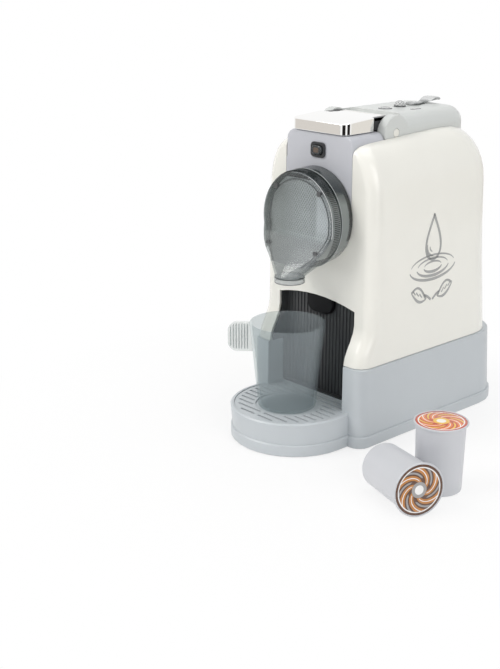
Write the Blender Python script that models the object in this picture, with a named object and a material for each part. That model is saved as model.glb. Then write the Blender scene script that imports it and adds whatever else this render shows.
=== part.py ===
"""Toy pod coffee maker: a play machine with a smoke brew drum, a cup on its tray and two pods.

Frame: metres, +Z up, z = 0 on the table, x = 0 the plane of symmetry,
y = 0 the flat face of the grey front panel, and the tray reaching towards -Y.
"""
import math

import bpy
import bmesh
from mathutils import Matrix, Vector

MM = 0.001

# Fits that every neighbour shares
GAP = 0.3 * MM
OVERRUN = 4.0 * MM
ROUND_STEPS = 5
TURN_STEPS = 32
SMALL_TURN_STEPS = 14
SCREW_STEPS = 10

# Grey base: skirt, flange and tray in one moulding
SKIRT_HALF = 61.7 * MM
SKIRT_FRONT = -12.0 * MM
SKIRT_REAR = 168.5 * MM
SKIRT_REAR_DRAFT = 5.2 * MM
SKIRT_TOP = 64.8 * MM
SKIRT_FRONT_ROUND = 10.0 * MM
SKIRT_REAR_ROUND = 34.0 * MM
SKIRT_WALL = 2.6 * MM
SKIRT_TOP_ROUND = 1.5 * MM
ROUND_EDGE_SHARE = 0.3
FLANGE_OUT = 1.5 * MM
FLANGE_TOP = 9.7 * MM
FLANGE_ROUND = 1.0 * MM
LEDGE_THICK = 2.5 * MM
LEDGE_WIDTH = 2.4 * MM
TRAY_CENTRE = -26.0 * MM
TRAY_RADIUS = 49.0 * MM
TRAY_TOP = 27.4 * MM
TRAY_DRAFT = 2.5 * MM
TRAY_RIM_ROUND = 1.2 * MM
TRAY_RIM = 3.0 * MM
DRIP_FLOOR = 14.0 * MM
DRIP_FLOOR_THICK = 2.0 * MM
GRILLE_SEAT = 24.0 * MM
GRILLE_LEDGE = 2.2 * MM
ALCOVE_HALF = 42.0 * MM
ALCOVE_WALL = 2.0 * MM
ALCOVE_REAR = 11.1 * MM

# Drip grille
GRILLE_TOP_DROP = 0.5 * MM
GRILLE_REAR = 4.0 * MM
GRILLE_SHOULDER = -13.0 * MM
SLOT_WIDTH = 2.2 * MM
SLOT_PITCH = 6.4 * MM
SLOT_BORDER = 3.6 * MM

# Cup
CUP_CENTRE = -31.0 * MM
CUP_FOOT_RADIUS = 23.0 * MM
CUP_RIM_RADIUS = 30.0 * MM
CUP_HEIGHT = 69.0 * MM
CUP_WALL = 1.5 * MM
CUP_FLOOR = 2.0 * MM
CUP_SEAT_DEPTH = 0.8 * MM
CUP_SEAT_CLEARANCE = 2.2 * MM
TAB_REACH = 17.0 * MM
TAB_HEIGHT = 24.5 * MM
TAB_THICK = 2.4 * MM
TAB_ROUND = 7.5 * MM
TAB_RIB = 0.8 * MM
TAB_RIB_COUNT = 4
TAB_TURN_DEG = 225.0

# White body
BODY_HALF = 60.2 * MM
BODY_SHOULDER_HALF = 58.8 * MM
BODY_WALL = 2.0 * MM
BODY_FRONT_ROUND = 11.0 * MM
BODY_REAR_ROUND = 32.5 * MM
BODY_REAR_FOOT = 162.5 * MM
BODY_REAR_SHOULDER = 153.0 * MM
BODY_FLARE = 11.0 * MM
FLARE_TOP = 95.0 * MM
BODY_TOP = 232.0 * MM
SHOULDER_HEIGHT = 39.0 * MM
SHOULDER_START = BODY_TOP - SHOULDER_HEIGHT
BODY_TOP_RISE = 5.6 * MM
BODY_TOP_BACK = 126.0 * MM
BODY_TOP_FRONT_ROUND = 7.0 * MM
MOUTH_HALF = 41.5 * MM
MOUTH_CORNER = 106.0 * MM
MOUTH_TOP = 111.5 * MM

# Grey front panel and the strip over the top
STRIP_HALF = 35.0 * MM
STRIP_PROUD = 7.5 * MM
STRIP_TOP = BODY_TOP + STRIP_PROUD
STRIP_WALL = 2.0 * MM
STRIP_CORNER = 8.0 * MM
STRIP_EDGE = 1.5 * MM
STRIP_DEPTH = 35.0 * MM
STRIP_APRON = 19.0 * MM
STRIP_FOOT = BODY_TOP - STRIP_APRON

# Black lining of the alcove
LINER_CLEARANCE = 0.4 * MM
LINER_WALL = 1.2 * MM
LINER_BACK = 8.8 * MM
LINER_BACK_THICK = 1.8 * MM
LINER_RISE = 1.5 * MM
RIB_PITCH = 3.6 * MM
RIB_WIDTH = 1.8 * MM
RIB_DEPTH = 0.8 * MM
TONGUE_HALF = 14.5 * MM
TONGUE_FOOT = 95.0 * MM
TONGUE_FRONT = 3.6 * MM
TONGUE_ROUND = 9.0 * MM

# Brew drum and spout
DRUM_BACK_RADIUS = 37.7 * MM
DRUM_BACK_CENTRE = 176.6 * MM
DRUM_SEAM = -12.7 * MM
DRUM_SEAM_RADIUS = 38.5 * MM
DRUM_SEAM_CENTRE = 175.2 * MM
DRUM_FRONT = -22.6 * MM
DRUM_FRONT_RADIUS = 37.8 * MM
DRUM_FRONT_CENTRE = 174.2 * MM
DRUM_WALL = 1.7 * MM
LEAN_START = 167.0 * MM
FUNNEL_START = 148.0 * MM
DRUM_EDGE = 1.4 * MM
SPOUT_CENTRE = -29.5 * MM
SPOUT_RADIUS = 11.2 * MM
SPOUT_TOP = 131.6 * MM
SPOUT_RING_HEIGHT = 4.2 * MM
SPOUT_FOOT = SPOUT_TOP - SPOUT_RING_HEIGHT
SPOUT_RING_OUT = 0.7 * MM
SPOUT_BORE = 7.4 * MM
SPIGOT_RISE = 1.0 * MM
SPIGOT_CLEARANCE = 0.9 * MM
HUB_RADIUS = 10.0 * MM
HUB_DEPTH = 6.0 * MM
SCREEN_SETBACK = 2.4 * MM
SCREEN_THICK = 0.6 * MM
SCREEN_BORDER = 5.4 * MM
SCREEN_FOOT = 143.0 * MM
DRUM_SCREW_HIGH = 198.5 * MM
DRUM_SCREW_HIGH_HALF = 23.0 * MM
DRUM_SCREW_LOW = 154.0 * MM
DRUM_SCREW_LOW_HALF = 25.6 * MM
DRUM_BOSS_RADIUS = 2.9 * MM
DRUM_BOSS_PROUD = 0.8 * MM

# Screws, one size for the drum, the well and the board, one for the base
SMALL_SHANK = 1.1 * MM
SMALL_HEAD = 2.1 * MM
SMALL_HEAD_THICK = 1.1 * MM
SMALL_THREAD = 8.0 * MM
BASE_SHANK = 1.4 * MM
BASE_HEAD = 3.0 * MM
BASE_HEAD_THICK = 1.0 * MM
BASE_THREAD = 11.0 * MM

# Pod well under the lid
POD_RIM_RADIUS = 19.8 * MM
POD_HEIGHT = 52.5 * MM
WELL_CLEARANCE = 0.8 * MM
WELL_WALL = 1.0 * MM
WELL_CENTRE = 33.0 * MM
WELL_FLOOR = 1.6 * MM
WELL_SPARE_DEPTH = 2.5 * MM
WELL_DRAIN = 3.0 * MM
WELL_TAB_MARGIN = 5.4 * MM
WELL_TAB_HALF = STRIP_HALF - WELL_TAB_MARGIN
WELL_TAB_DROP = 1.3 * MM
WELL_TAB_FRONT = 14.0 * MM
WELL_TAB_REAR = 33.0 * MM
WELL_TAB_THICK = 1.7 * MM
WELL_SCREW_INSET = 3.2 * MM

# Lid lever and its hinge
HINGE_Y = 49.0 * MM
HINGE_DROP = 1.5 * MM
HINGE_Z = STRIP_TOP - HINGE_DROP
EAR_RADIUS = 13.5 * MM
EAR_THICK = 7.8 * MM
PIN_RADIUS = 3.1 * MM
ARM_RADIUS = 12.3 * MM
ARM_THICK = 4.4 * MM
LID_MARGIN = 6.5 * MM
LID_HALF = STRIP_HALF - LID_MARGIN
LID_FRONT = -2.0 * MM
LID_PLATE_REAR = 31.0 * MM
LID_FRONT_THICK = 8.0 * MM
LID_RISE = 2.3 * MM
LID_LIFT = 0.9 * MM
LID_CORNER = 6.0 * MM
LID_NECK_LAP = 8.0 * MM
LID_EDGE = 0.8 * MM
LID_SKIN = 2.4 * MM

# Rear deck and its controls
DECK_REAR = 142.7 * MM
DECK_RISE = 11.5 * MM
DECK_TOP = STRIP_TOP + DECK_RISE
DECK_ROUND = 12.0 * MM
DECK_REAR_CORNER = 22.0 * MM
DECK_WALL = 2.0 * MM
RING_Y = 75.0 * MM
RING_RADIUS = 5.4 * MM
RING_PROUD = 0.8 * MM
RING_DISH = 0.5 * MM
DOME_Y = 92.7 * MM
DOME_RADIUS = 4.9 * MM
DOME_RISE = 5.0 * MM
BUTTON_FLANGE = 1.0 * MM
BUTTON_FLANGE_THICK = 1.2 * MM
BUTTON_TRAVEL = 1.2 * MM
STEM_RADIUS = 1.6 * MM
OVAL_X = 18.0 * MM
OVAL_Y = 91.0 * MM
OVAL_HALF_LENGTH = 5.4 * MM
OVAL_HALF_WIDTH = 2.1 * MM
OVAL_PROUD = 0.4 * MM
ROCKER_Y = 118.0 * MM
ROCKER_DROP = 3.8 * MM
ROCKER_FRONT_REACH = 15.0 * MM
ROCKER_REAR_REACH = 20.0 * MM
ROCKER_HALF = 7.2 * MM
ROCKER_RISE = 5.0 * MM
ROCKER_STEM_HALF = 2.4 * MM
ROCKER_STEM_WIDTH = 3.2 * MM
ROCKER_PIN = 1.0 * MM
LUG_THICK = 2.0 * MM
LUG_HALF = 2.6 * MM

# Circuit board and what it carries
BOARD_DROP = 9.4 * MM
BOARD_THICK = 1.6 * MM
BOARD_HALF = 22.0 * MM
BOARD_FRONT = 67.0 * MM
BOARD_REAR = 133.0 * MM
POST_RADIUS = 2.8 * MM
POST_X = 13.0 * MM
POST_FRONT_Y = 83.0 * MM
POST_REAR_Y = 106.0 * MM
SWITCH_HALF = 3.0 * MM
SWITCH_CAP_RADIUS = 1.7 * MM
LED_RADIUS = 2.4 * MM
LED_HEIGHT = 5.0 * MM

# Front push button
FRONT_BUTTON_DROP = 13.0 * MM
FRONT_BUTTON_Z = STRIP_TOP - FRONT_BUTTON_DROP
FRONT_BUTTON_WIDTH = 10.4 * MM
FRONT_BUTTON_HEIGHT = 7.2 * MM
FRONT_BUTTON_PROUD = 3.2 * MM
FRONT_BUTTON_TRAVEL = 1.5 * MM
BEZEL_SLEEVE = 0.9 * MM
BEZEL_LIP = 1.0 * MM
BEZEL_PROUD = 1.3 * MM
BEZEL_DEPTH = 3.2 * MM
SWITCH_THICK = 3.2 * MM
BUTTON_CORNER = 3.0 * MM

# Underside, battery box and speaker
PLATE_THICK = 2.4 * MM
BOSS_RADIUS = 5.2 * MM
BOSS_INSET = 4.6 * MM
BOSS_TOP = 24.0 * MM
BOSS_FRONT_Y = 18.0 * MM
BOSS_REAR_Y = 122.0 * MM
CELL_RADIUS = 7.0 * MM
CELL_LENGTH = 50.5 * MM
CELL_NUB_RADIUS = 2.7 * MM
CELL_NUB = 1.0 * MM
CELL_PITCH = 15.2 * MM
CELL_COUNT = 3
BOX_FRONT = 72.0 * MM
BOX_WALL = 1.6 * MM
CONTACT_THICK = 0.6 * MM
CONTACT_BORDER = 1.2 * MM
DOOR_TAIL = 11.0 * MM
DOOR_RECESS = 0.4 * MM
SPEAKER_Y = 38.0 * MM
SPEAKER_RADIUS = 18.0 * MM
SPEAKER_RIM_THICK = 1.6 * MM
SPEAKER_MAGNET = 9.0 * MM
SPEAKER_HEIGHT = 11.0 * MM
SOUND_SLOT_COUNT = 5
SOUND_SLOT_PITCH = 5.0 * MM
SOUND_SLOT_WIDTH = 2.0 * MM
SOUND_SLOT_HALF = 9.0 * MM

# Pods
POD_FOOT_RADIUS = 17.0 * MM
POD_NECK_RADIUS = 18.4 * MM
POD_WALL = 1.2 * MM
POD_RIM_THICK = 1.6 * MM
POD_LID_THICK = 0.6 * MM
POD_LID_BORDER = 1.5 * MM
POD_LID_DEPTH = 0.3 * MM
STANDING_X = 144.3 * MM
STANDING_Y = -17.8 * MM
STANDING_TURN_DEG = 40.0
LYING_X = 164.4 * MM
LYING_Y = -63.9 * MM
LYING_YAW_DEG = -19.8

# Finishes: colour, roughness, metallic, alpha
FINISHES = {
    "base_grey": ((0.50, 0.51, 0.55), 0.34, 0.0, 1.0),
    "body_white": ((0.80, 0.78, 0.73), 0.28, 0.0, 1.0),
    "strip_grey": ((0.48, 0.49, 0.54), 0.36, 0.0, 1.0),
    "deck_grey": ((0.62, 0.63, 0.65), 0.36, 0.0, 1.0),
    "lid_chrome": ((0.90, 0.90, 0.90), 0.08, 1.0, 1.0),
    "gloss_black": ((0.012, 0.012, 0.014), 0.12, 0.0, 1.0),
    "satin_black": ((0.02, 0.02, 0.022), 0.40, 0.0, 1.0),
    "smoke_clear": ((0.16, 0.20, 0.22), 0.10, 0.0, 0.5),
    "cup_smoke": ((0.26, 0.34, 0.38), 0.12, 0.0, 0.45),
    "clear": ((0.75, 0.77, 0.78), 0.08, 0.0, 0.4),
    "screen_steel": ((0.45, 0.46, 0.47), 0.35, 0.8, 1.0),
    "bright_steel": ((0.75, 0.75, 0.74), 0.22, 1.0, 1.0),
    "pod_grey": ((0.60, 0.61, 0.63), 0.42, 0.0, 1.0),
    "pod_print_red": ((0.62, 0.16, 0.07), 0.30, 0.0, 1.0),
    "pod_print_brown": ((0.35, 0.15, 0.04), 0.30, 0.0, 1.0),
    "board_green": ((0.03, 0.16, 0.07), 0.50, 0.0, 1.0),
    "cell_jacket": ((0.10, 0.11, 0.13), 0.35, 0.4, 1.0),
    "nickel": ((0.66, 0.64, 0.58), 0.30, 1.0, 1.0),
}


def clear_scene():
    for thing in list(bpy.data.objects):
        bpy.data.objects.remove(thing, do_unlink=True)


def finish(name):
    found = bpy.data.materials.get(name)
    if found:
        return found
    colour, roughness, metallic, alpha = FINISHES[name]
    made = bpy.data.materials.new(name)
    made.use_nodes = True
    shader = made.node_tree.nodes["Principled BSDF"]
    shader.inputs["Base Color"].default_value = (*colour, 1.0)
    shader.inputs["Roughness"].default_value = roughness
    shader.inputs["Metallic"].default_value = metallic
    shader.inputs["Alpha"].default_value = alpha
    made.diffuse_color = (*colour, alpha)
    return made


def make_object(name, bm, finish_name=None, matrix=None):
    """Turns a bmesh into an object; without a finish it is a hidden cutter or a part to join."""
    bmesh.ops.remove_doubles(bm, verts=bm.verts, dist=0.002 * MM)
    bmesh.ops.recalc_face_normals(bm, faces=bm.faces)
    if matrix is not None:
        bm.transform(matrix)
    mesh = bpy.data.meshes.new(name)
    bm.to_mesh(mesh)
    bm.free()
    made = bpy.data.objects.new(name, mesh)
    bpy.context.scene.collection.objects.link(made)
    if finish_name:
        mesh.materials.append(finish(finish_name))
        mesh.shade_smooth()
        mesh.set_sharp_from_angle(angle=math.radians(35.0))
    else:
        made.hide_render = True
        made.display_type = "WIRE"
    return made


def combine(target, tool, operation):
    modifier = target.modifiers.new(operation.lower(), "BOOLEAN")
    modifier.operation = operation
    modifier.object = tool
    return target


def cut(target, *tools):
    for tool in tools:
        combine(target, tool, "DIFFERENCE")
    return target


def join(target, *tools):
    for tool in tools:
        combine(target, tool, "UNION")
    return target


def arc(centre_u, centre_v, radius, start_deg, end_deg, steps=ROUND_STEPS):
    points = []
    for step in range(steps + 1):
        angle = math.radians(start_deg + (end_deg - start_deg) * step / steps)
        points.append((centre_u + radius * math.cos(angle), centre_v + radius * math.sin(angle)))
    return points


def plan(half, front, rear, front_round, rear_round, front_steps=ROUND_STEPS, rear_steps=ROUND_STEPS):
    """A rectangle with rounded corners, symmetric about x = 0, from front to rear."""
    return (
        arc(half - front_round, front + front_round, front_round, -90, 0, front_steps)
        + arc(half - rear_round, rear - rear_round, rear_round, 0, 90, rear_steps)
        + arc(rear_round - half, rear - rear_round, rear_round, 90, 180, rear_steps)
        + arc(front_round - half, front + front_round, front_round, 180, 270, front_steps)
    )


def box_outline(half_u, low_v, high_v, corner, steps=3):
    return plan(half_u, low_v, high_v, corner, corner, steps, steps)


def loft(rings):
    """Skins rings of equal length and caps both ends."""
    bm = bmesh.new()
    loops = [[bm.verts.new(point) for point in ring] for ring in rings]
    for lower, upper in zip(loops, loops[1:]):
        count = len(lower)
        for index in range(count):
            after = (index + 1) % count
            bm.faces.new((lower[index], lower[after], upper[after], upper[index]))
    bm.faces.new(list(reversed(loops[0])))
    bm.faces.new(loops[-1])
    return bm


def slab(outline, low, high):
    """An outline in x and y, extruded in z."""
    return loft([[(x, y, z) for x, y in outline] for z in (low, high)])


def wall(outline, front, rear):
    """An outline in x and z, extruded in y."""
    return loft([[(x, y, z) for x, z in outline] for y in (front, rear)])


def bar(outline, left, right):
    """An outline in y and z, extruded in x."""
    return loft([[(x, y, z) for y, z in outline] for x in (left, right)])


def block(left, right, front, rear, low, high):
    return slab([(left, front), (right, front), (right, rear), (left, rear)], low, high)


def rod(radius, start, end, steps=SMALL_TURN_STEPS):
    """A cylinder between two points."""
    start, end = Vector(start), Vector(end)
    side = (end - start).normalized()
    turn = side.to_track_quat("Z", "Y").to_matrix()
    rings = []
    for centre in (start, end):
        ring = []
        for u, v in arc(0, 0, radius, 0, 360, steps)[:-1]:
            ring.append(centre + turn @ Vector((u, v, 0)))
        rings.append(ring)
    return loft(rings)


def turned(profile, steps=TURN_STEPS):
    """A closed profile of (radius, height) turned about z; a zero radius closes at the axis."""
    bm = bmesh.new()
    columns = []
    for step in range(steps):
        angle = math.tau * step / steps
        column = []
        for radius, height in profile:
            column.append(bm.verts.new((radius * math.cos(angle), radius * math.sin(angle), height)))
        columns.append(column)
    count = len(profile)
    for step in range(steps):
        here, after = columns[step], columns[(step + 1) % steps]
        for index in range(count):
            following = (index + 1) % count
            if profile[index][0] == 0 and profile[following][0] == 0:
                continue
            bm.faces.new((here[index], after[index], after[following], here[following]))
    bmesh.ops.remove_doubles(bm, verts=bm.verts, dist=0.002 * MM)
    bmesh.ops.dissolve_degenerate(bm, edges=bm.edges, dist=0.001 * MM)
    return bm


def smooth_share(share):
    share = min(1.0, max(0.0, share))
    return share * share * (3.0 - 2.0 * share)


# Base

def skirt_plan(inset=0.0, draft_share=0.0):
    """The skirt's outline; a draft share of 1 is the foot of its leaning rear wall."""
    rear = SKIRT_REAR + SKIRT_REAR_DRAFT * draft_share - inset
    return plan(SKIRT_HALF - inset, SKIRT_FRONT + inset, rear,
                SKIRT_FRONT_ROUND - inset, SKIRT_REAR_ROUND - inset, 4, 6)


def tray_plan(inset=0.0, draft_share=0.0):
    """The tray's round front and straight sides; a draft share of 1 is the foot of its wall."""
    centre = TRAY_CENTRE + TRAY_DRAFT * draft_share
    radius = TRAY_RADIUS - inset
    back = SKIRT_FRONT + SKIRT_FRONT_ROUND
    return [(radius, back)] + arc(0, centre, radius, 0, -180, 16) + [(-radius, back)]


def foot_plan(inset=0.0):
    """The skirt and the tray as one outline, for the flange and all that lies under the floor."""
    radius = TRAY_RADIUS - inset
    centre = TRAY_CENTRE + TRAY_DRAFT
    corner = SKIRT_FRONT + inset
    return (arc(0, centre, radius, -90, 0, 8) + [(radius, corner)] + skirt_plan(inset, 1)
            + [(-radius, corner)] + arc(0, centre, radius, 180, 270, 8)[:-1])


def grille_plan(grow=0.0):
    """The grille follows the tray's rim and narrows where it enters the alcove."""
    radius = TRAY_RADIUS - TRAY_RIM - GAP + grow
    rear_half = LINER_HALF - LINER_WALL - 2 * GAP + grow
    shoulder = GRILLE_SHOULDER + grow
    reach = math.degrees(math.asin((shoulder - TRAY_CENTRE) / radius))
    round_front = arc(0, TRAY_CENTRE, radius, reach, -180 - reach, 4 * ROUND_STEPS)
    rear = GRILLE_REAR + grow
    return [(rear_half, rear), (rear_half, shoulder)] + round_front + [(-rear_half, shoulder), (-rear_half, rear)]


def boss_places():
    across = SKIRT_HALF - SKIRT_WALL - BOSS_INSET
    return [(side * across, y) for y in (BOSS_FRONT_Y, BOSS_REAR_Y) for side in (-1, 1)]


def base_shell():
    rings = []
    for z, inset in ((0, FLANGE_ROUND - FLANGE_OUT), (FLANGE_ROUND, -FLANGE_OUT),
                     (FLANGE_TOP - FLANGE_ROUND, -FLANGE_OUT), (FLANGE_TOP, -FLANGE_OUT / 2)):
        rings.append([(x, y, z) for x, y in foot_plan(inset)])
    shell = make_object("base_shell", loft(rings), "base_grey")
    rings = []
    for z, inset, draft in ((FLANGE_TOP / 2, 0, 1), (SKIRT_TOP - SKIRT_TOP_ROUND, 0, 0),
                            (SKIRT_TOP - SKIRT_TOP_ROUND * ROUND_EDGE_SHARE, SKIRT_TOP_ROUND * ROUND_EDGE_SHARE, 0),
                            (SKIRT_TOP, SKIRT_TOP_ROUND, 0)):
        rings.append([(x, y, z) for x, y in skirt_plan(inset, draft)])
    join(shell, make_object("skirt_form", loft(rings)))
    rings = []
    for z, inset, draft in ((FLANGE_TOP / 2, 0, 1), (TRAY_TOP - TRAY_RIM_ROUND, 0, 0), (TRAY_TOP, TRAY_RIM_ROUND, 0)):
        rings.append([(x, y, z) for x, y in tray_plan(inset, draft)])
    join(shell, make_object("tray_form", loft(rings)))

    floor = DRIP_FLOOR - DRIP_FLOOR_THICK
    cut(shell, make_object("foot_hollow", slab(foot_plan(SKIRT_WALL), -OVERRUN, floor)))
    hollow = make_object("skirt_hollow", slab(skirt_plan(SKIRT_WALL), floor - OVERRUN, SKIRT_TOP - LEDGE_THICK))
    outside = ALCOVE_HALF + ALCOVE_WALL
    keep_out = block(-outside, outside, SKIRT_FRONT - OVERRUN, ALCOVE_REAR, floor - 2 * OVERRUN, SKIRT_TOP + OVERRUN)
    cut(hollow, make_object("alcove_keep_out", keep_out))
    opening = slab(plan(SKIRT_HALF - SKIRT_WALL - LEDGE_WIDTH, ALCOVE_REAR + OVERRUN,
                        BODY_REAR_FOOT - BODY_WALL - LEDGE_WIDTH, SKIRT_WALL,
                        BODY_REAR_ROUND - LEDGE_WIDTH, 2, 7), SKIRT_TOP - LEDGE_THICK - OVERRUN, SKIRT_TOP + OVERRUN)
    alcove = block(-ALCOVE_HALF, ALCOVE_HALF, SKIRT_FRONT - OVERRUN, ALCOVE_REAR + 2 * OVERRUN,
                   TRAY_TOP, SKIRT_TOP + OVERRUN)
    seat = slab(grille_plan(GAP), GRILLE_SEAT, TRAY_TOP + OVERRUN)
    drip = slab(grille_plan(-GRILLE_LEDGE), DRIP_FLOOR, GRILLE_SEAT + OVERRUN / 2)
    cut(shell, hollow, make_object("ledge_opening", opening), make_object("alcove_cut", alcove),
        make_object("grille_seat", seat), make_object("drip_space", drip))
    for number, (x, y) in enumerate(boss_places(), 1):
        boss = rod(BOSS_RADIUS, (x, y, PLATE_THICK + GAP), (x, y, BOSS_TOP), SCREW_STEPS)
        join(shell, make_object(f"base_boss_{number}", boss))
        pilot = rod(BASE_SHANK + GAP, (x, y, 0), (x, y, PLATE_THICK + BASE_THREAD), SCREW_STEPS)
        cut(shell, make_object(f"base_pilot_{number}", pilot))
    return shell


def bottom_plate():
    inset = SKIRT_WALL + GAP
    plate = make_object("bottom_plate", slab(foot_plan(inset), 0, PLATE_THICK), "base_grey")
    door_hole = block(*door_span(GAP), -OVERRUN, PLATE_THICK + OVERRUN)
    cut(plate, make_object("door_hole", door_hole))
    for number, (x, y) in enumerate(boss_places(), 1):
        hole = rod(BASE_SHANK + GAP, (x, y, -OVERRUN), (x, y, PLATE_THICK + OVERRUN))
        sink = rod(BASE_HEAD + GAP, (x, y, -OVERRUN), (x, y, DOOR_RECESS + BASE_HEAD_THICK))
        cut(plate, make_object(f"plate_hole_{number}", hole), make_object(f"plate_sink_{number}", sink))
    for number in range(SOUND_SLOT_COUNT):
        x = (number - (SOUND_SLOT_COUNT - 1) / 2) * SOUND_SLOT_PITCH
        slot = block(x - SOUND_SLOT_WIDTH / 2, x + SOUND_SLOT_WIDTH / 2, SPEAKER_Y - SOUND_SLOT_HALF,
                     SPEAKER_Y + SOUND_SLOT_HALF, -OVERRUN, PLATE_THICK + OVERRUN)
        cut(plate, make_object(f"sound_slot_{number + 1}", slot))
    return plate


def screw(name, shank, head, head_thick, thread, head_point, direction, crossed=False):
    """A round-headed screw whose head starts at head_point and whose thread runs along direction."""
    start, run = Vector(head_point), Vector(direction)
    made = make_object(name, rod(head, start, start + run * head_thick, SCREW_STEPS + 2), "bright_steel")
    foot = start + run * head_thick / 2
    join(made, make_object(name + "_shank", rod(shank, foot, foot + run * thread, SCREW_STEPS - 2)))
    if crossed:
        place = Matrix.Translation(start) @ run.to_track_quat("Z", "Y").to_matrix().to_4x4()
        long, short = head * 0.6, head * 0.17
        cross = [(long, -short), (long, short), (short, short), (short, long), (-short, long), (-short, short),
                 (-long, short), (-long, -short), (-short, -short), (-short, -long), (short, -long), (short, -short)]
        recess = head_thick * 0.4
        cut(made, make_object(name + "_cross", slab(cross, -recess, recess), matrix=place))
    return made


def base_screws():
    for number, (x, y) in enumerate(boss_places(), 1):
        screw(f"base_screw_{number}", BASE_SHANK, BASE_HEAD, BASE_HEAD_THICK - GAP, BASE_THREAD - GAP,
              (x, y, DOOR_RECESS), (0, 0, 1))


# Batteries

def box_inner():
    length = CELL_LENGTH + 2 * (CONTACT_THICK + 2 * GAP)
    half = CELL_PITCH * (CELL_COUNT - 1) / 2 + CELL_RADIUS + 2 * GAP
    return half, BOX_FRONT, BOX_FRONT + length


def door_span(grow=0.0):
    half, front, rear = box_inner()
    tail = rear + BOX_WALL + DOOR_TAIL
    return -half + GAP - grow, half - GAP + grow, front + GAP - grow, tail + grow


def door_screw_y():
    return box_inner()[2] + BOX_WALL + BOSS_RADIUS - GAP


def battery_parts():
    half, front, rear = box_inner()
    low = PLATE_THICK + GAP
    cell_z = low + CELL_RADIUS
    top = cell_z + CELL_RADIUS + GAP
    box = make_object("battery_box", block(-half - BOX_WALL, half + BOX_WALL, front - BOX_WALL, rear + BOX_WALL,
                                           low, top + BOX_WALL), "base_grey")
    y = door_screw_y()
    join(box, make_object("door_boss", rod(BOSS_RADIUS, (0, y, low), (0, y, top))))
    cut(box, make_object("cell_space", block(-half, half, front, rear, -OVERRUN, top)),
        make_object("door_pilot", rod(BASE_SHANK + GAP, (0, y, -OVERRUN), (0, y, low + BASE_THREAD - OVERRUN))))

    door = make_object("battery_door", block(*door_span(), DOOR_RECESS, PLATE_THICK), "base_grey")
    cut(door, make_object("door_hole_round", rod(BASE_SHANK + GAP, (0, y, -OVERRUN), (0, y, PLATE_THICK + OVERRUN))),
        make_object("door_sink", rod(BASE_HEAD + GAP, (0, y, -OVERRUN), (0, y, 2 * DOOR_RECESS + BASE_HEAD_THICK - GAP))))
    screw("door_screw", BASE_SHANK, BASE_HEAD, BASE_HEAD_THICK - GAP, low - PLATE_THICK + BASE_THREAD - 2 * OVERRUN,
          (0, y, 2 * DOOR_RECESS - GAP), (0, 0, 1))

    for name, start in (("contact_front", front + GAP), ("contact_rear", rear - GAP - CONTACT_THICK)):
        plate = block(-half + CONTACT_BORDER, half - CONTACT_BORDER, start, start + CONTACT_THICK,
                      low + GAP, top - CONTACT_BORDER)
        make_object(name, plate, "nickel")
    profile = [(0, 0), (CELL_RADIUS, 0), (CELL_RADIUS, CELL_LENGTH - CELL_NUB),
               (CELL_NUB_RADIUS, CELL_LENGTH - CELL_NUB), (CELL_NUB_RADIUS, CELL_LENGTH), (0, CELL_LENGTH)]
    start = front + CONTACT_THICK + 2 * GAP
    for number in range(CELL_COUNT):
        x = (number - (CELL_COUNT - 1) / 2) * CELL_PITCH
        flip = number % 2
        where = Matrix.Translation((x, start + flip * CELL_LENGTH, cell_z))
        turn = Matrix.Rotation(math.radians(90.0 if flip else -90.0), 4, "X")
        make_object(f"battery_{number + 1}", turned(profile, SMALL_TURN_STEPS), "cell_jacket", where @ turn)


def speaker():
    low = PLATE_THICK + GAP
    cone = SPEAKER_RADIUS * 0.55
    waist = low + SPEAKER_HEIGHT * 0.55
    profile = [(0, low + SPEAKER_RIM_THICK), (cone * 0.5, low + SPEAKER_RIM_THICK), (SPEAKER_RADIUS - SPEAKER_RIM_THICK, low),
               (SPEAKER_RADIUS, low), (SPEAKER_RADIUS, low + SPEAKER_RIM_THICK),
               (cone, waist), (SPEAKER_MAGNET, waist), (SPEAKER_MAGNET, low + SPEAKER_HEIGHT), (0, low + SPEAKER_HEIGHT)]
    return make_object("speaker", turned(profile, 20), "cell_jacket", Matrix.Translation((0, SPEAKER_Y, 0)))


# Grille and cup

def cup_seat():
    return TRAY_TOP - GRILLE_TOP_DROP - CUP_SEAT_DEPTH


def drip_grille():
    top = TRAY_TOP - GRILLE_TOP_DROP
    grille = make_object("drip_grille", slab(grille_plan(), GRILLE_SEAT + GAP, top), "base_grey")
    seat_radius = CUP_FOOT_RADIUS + CUP_SEAT_CLEARANCE
    recess = rod(seat_radius, (0, CUP_CENTRE, cup_seat()), (0, CUP_CENTRE, top + OVERRUN), TURN_STEPS)
    cut(grille, make_object("cup_recess", recess))
    outer = TRAY_RADIUS - TRAY_RIM - SLOT_BORDER
    inner = seat_radius + SLOT_BORDER / 2
    rows = int((outer - SLOT_BORDER) / SLOT_PITCH)
    number = 0
    for row in range(-rows, rows + 1):
        y = TRAY_CENTRE + row * SLOT_PITCH
        if y + SLOT_WIDTH > GRILLE_SHOULDER + SLOT_BORDER + SLOT_PITCH * 2:
            continue
        reach = math.sqrt(outer * outer - (y - TRAY_CENTRE) ** 2)
        if y > GRILLE_SHOULDER - SLOT_BORDER:
            reach = min(reach, LINER_HALF - LINER_WALL - SLOT_BORDER)
        square = inner * inner - (y - CUP_CENTRE) ** 2
        start = math.sqrt(square) if square > 0 else SLOT_BORDER / 2
        if reach - start < 2 * SLOT_WIDTH:
            continue
        for side in (-1, 1):
            number += 1
            ends = sorted((side * start, side * reach))
            slot = block(ends[0], ends[1], y - SLOT_WIDTH / 2, y + SLOT_WIDTH / 2, GRILLE_SEAT - OVERRUN, top + OVERRUN)
            cut(grille, make_object(f"grille_slot_{number}", slot))
    return grille


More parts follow.
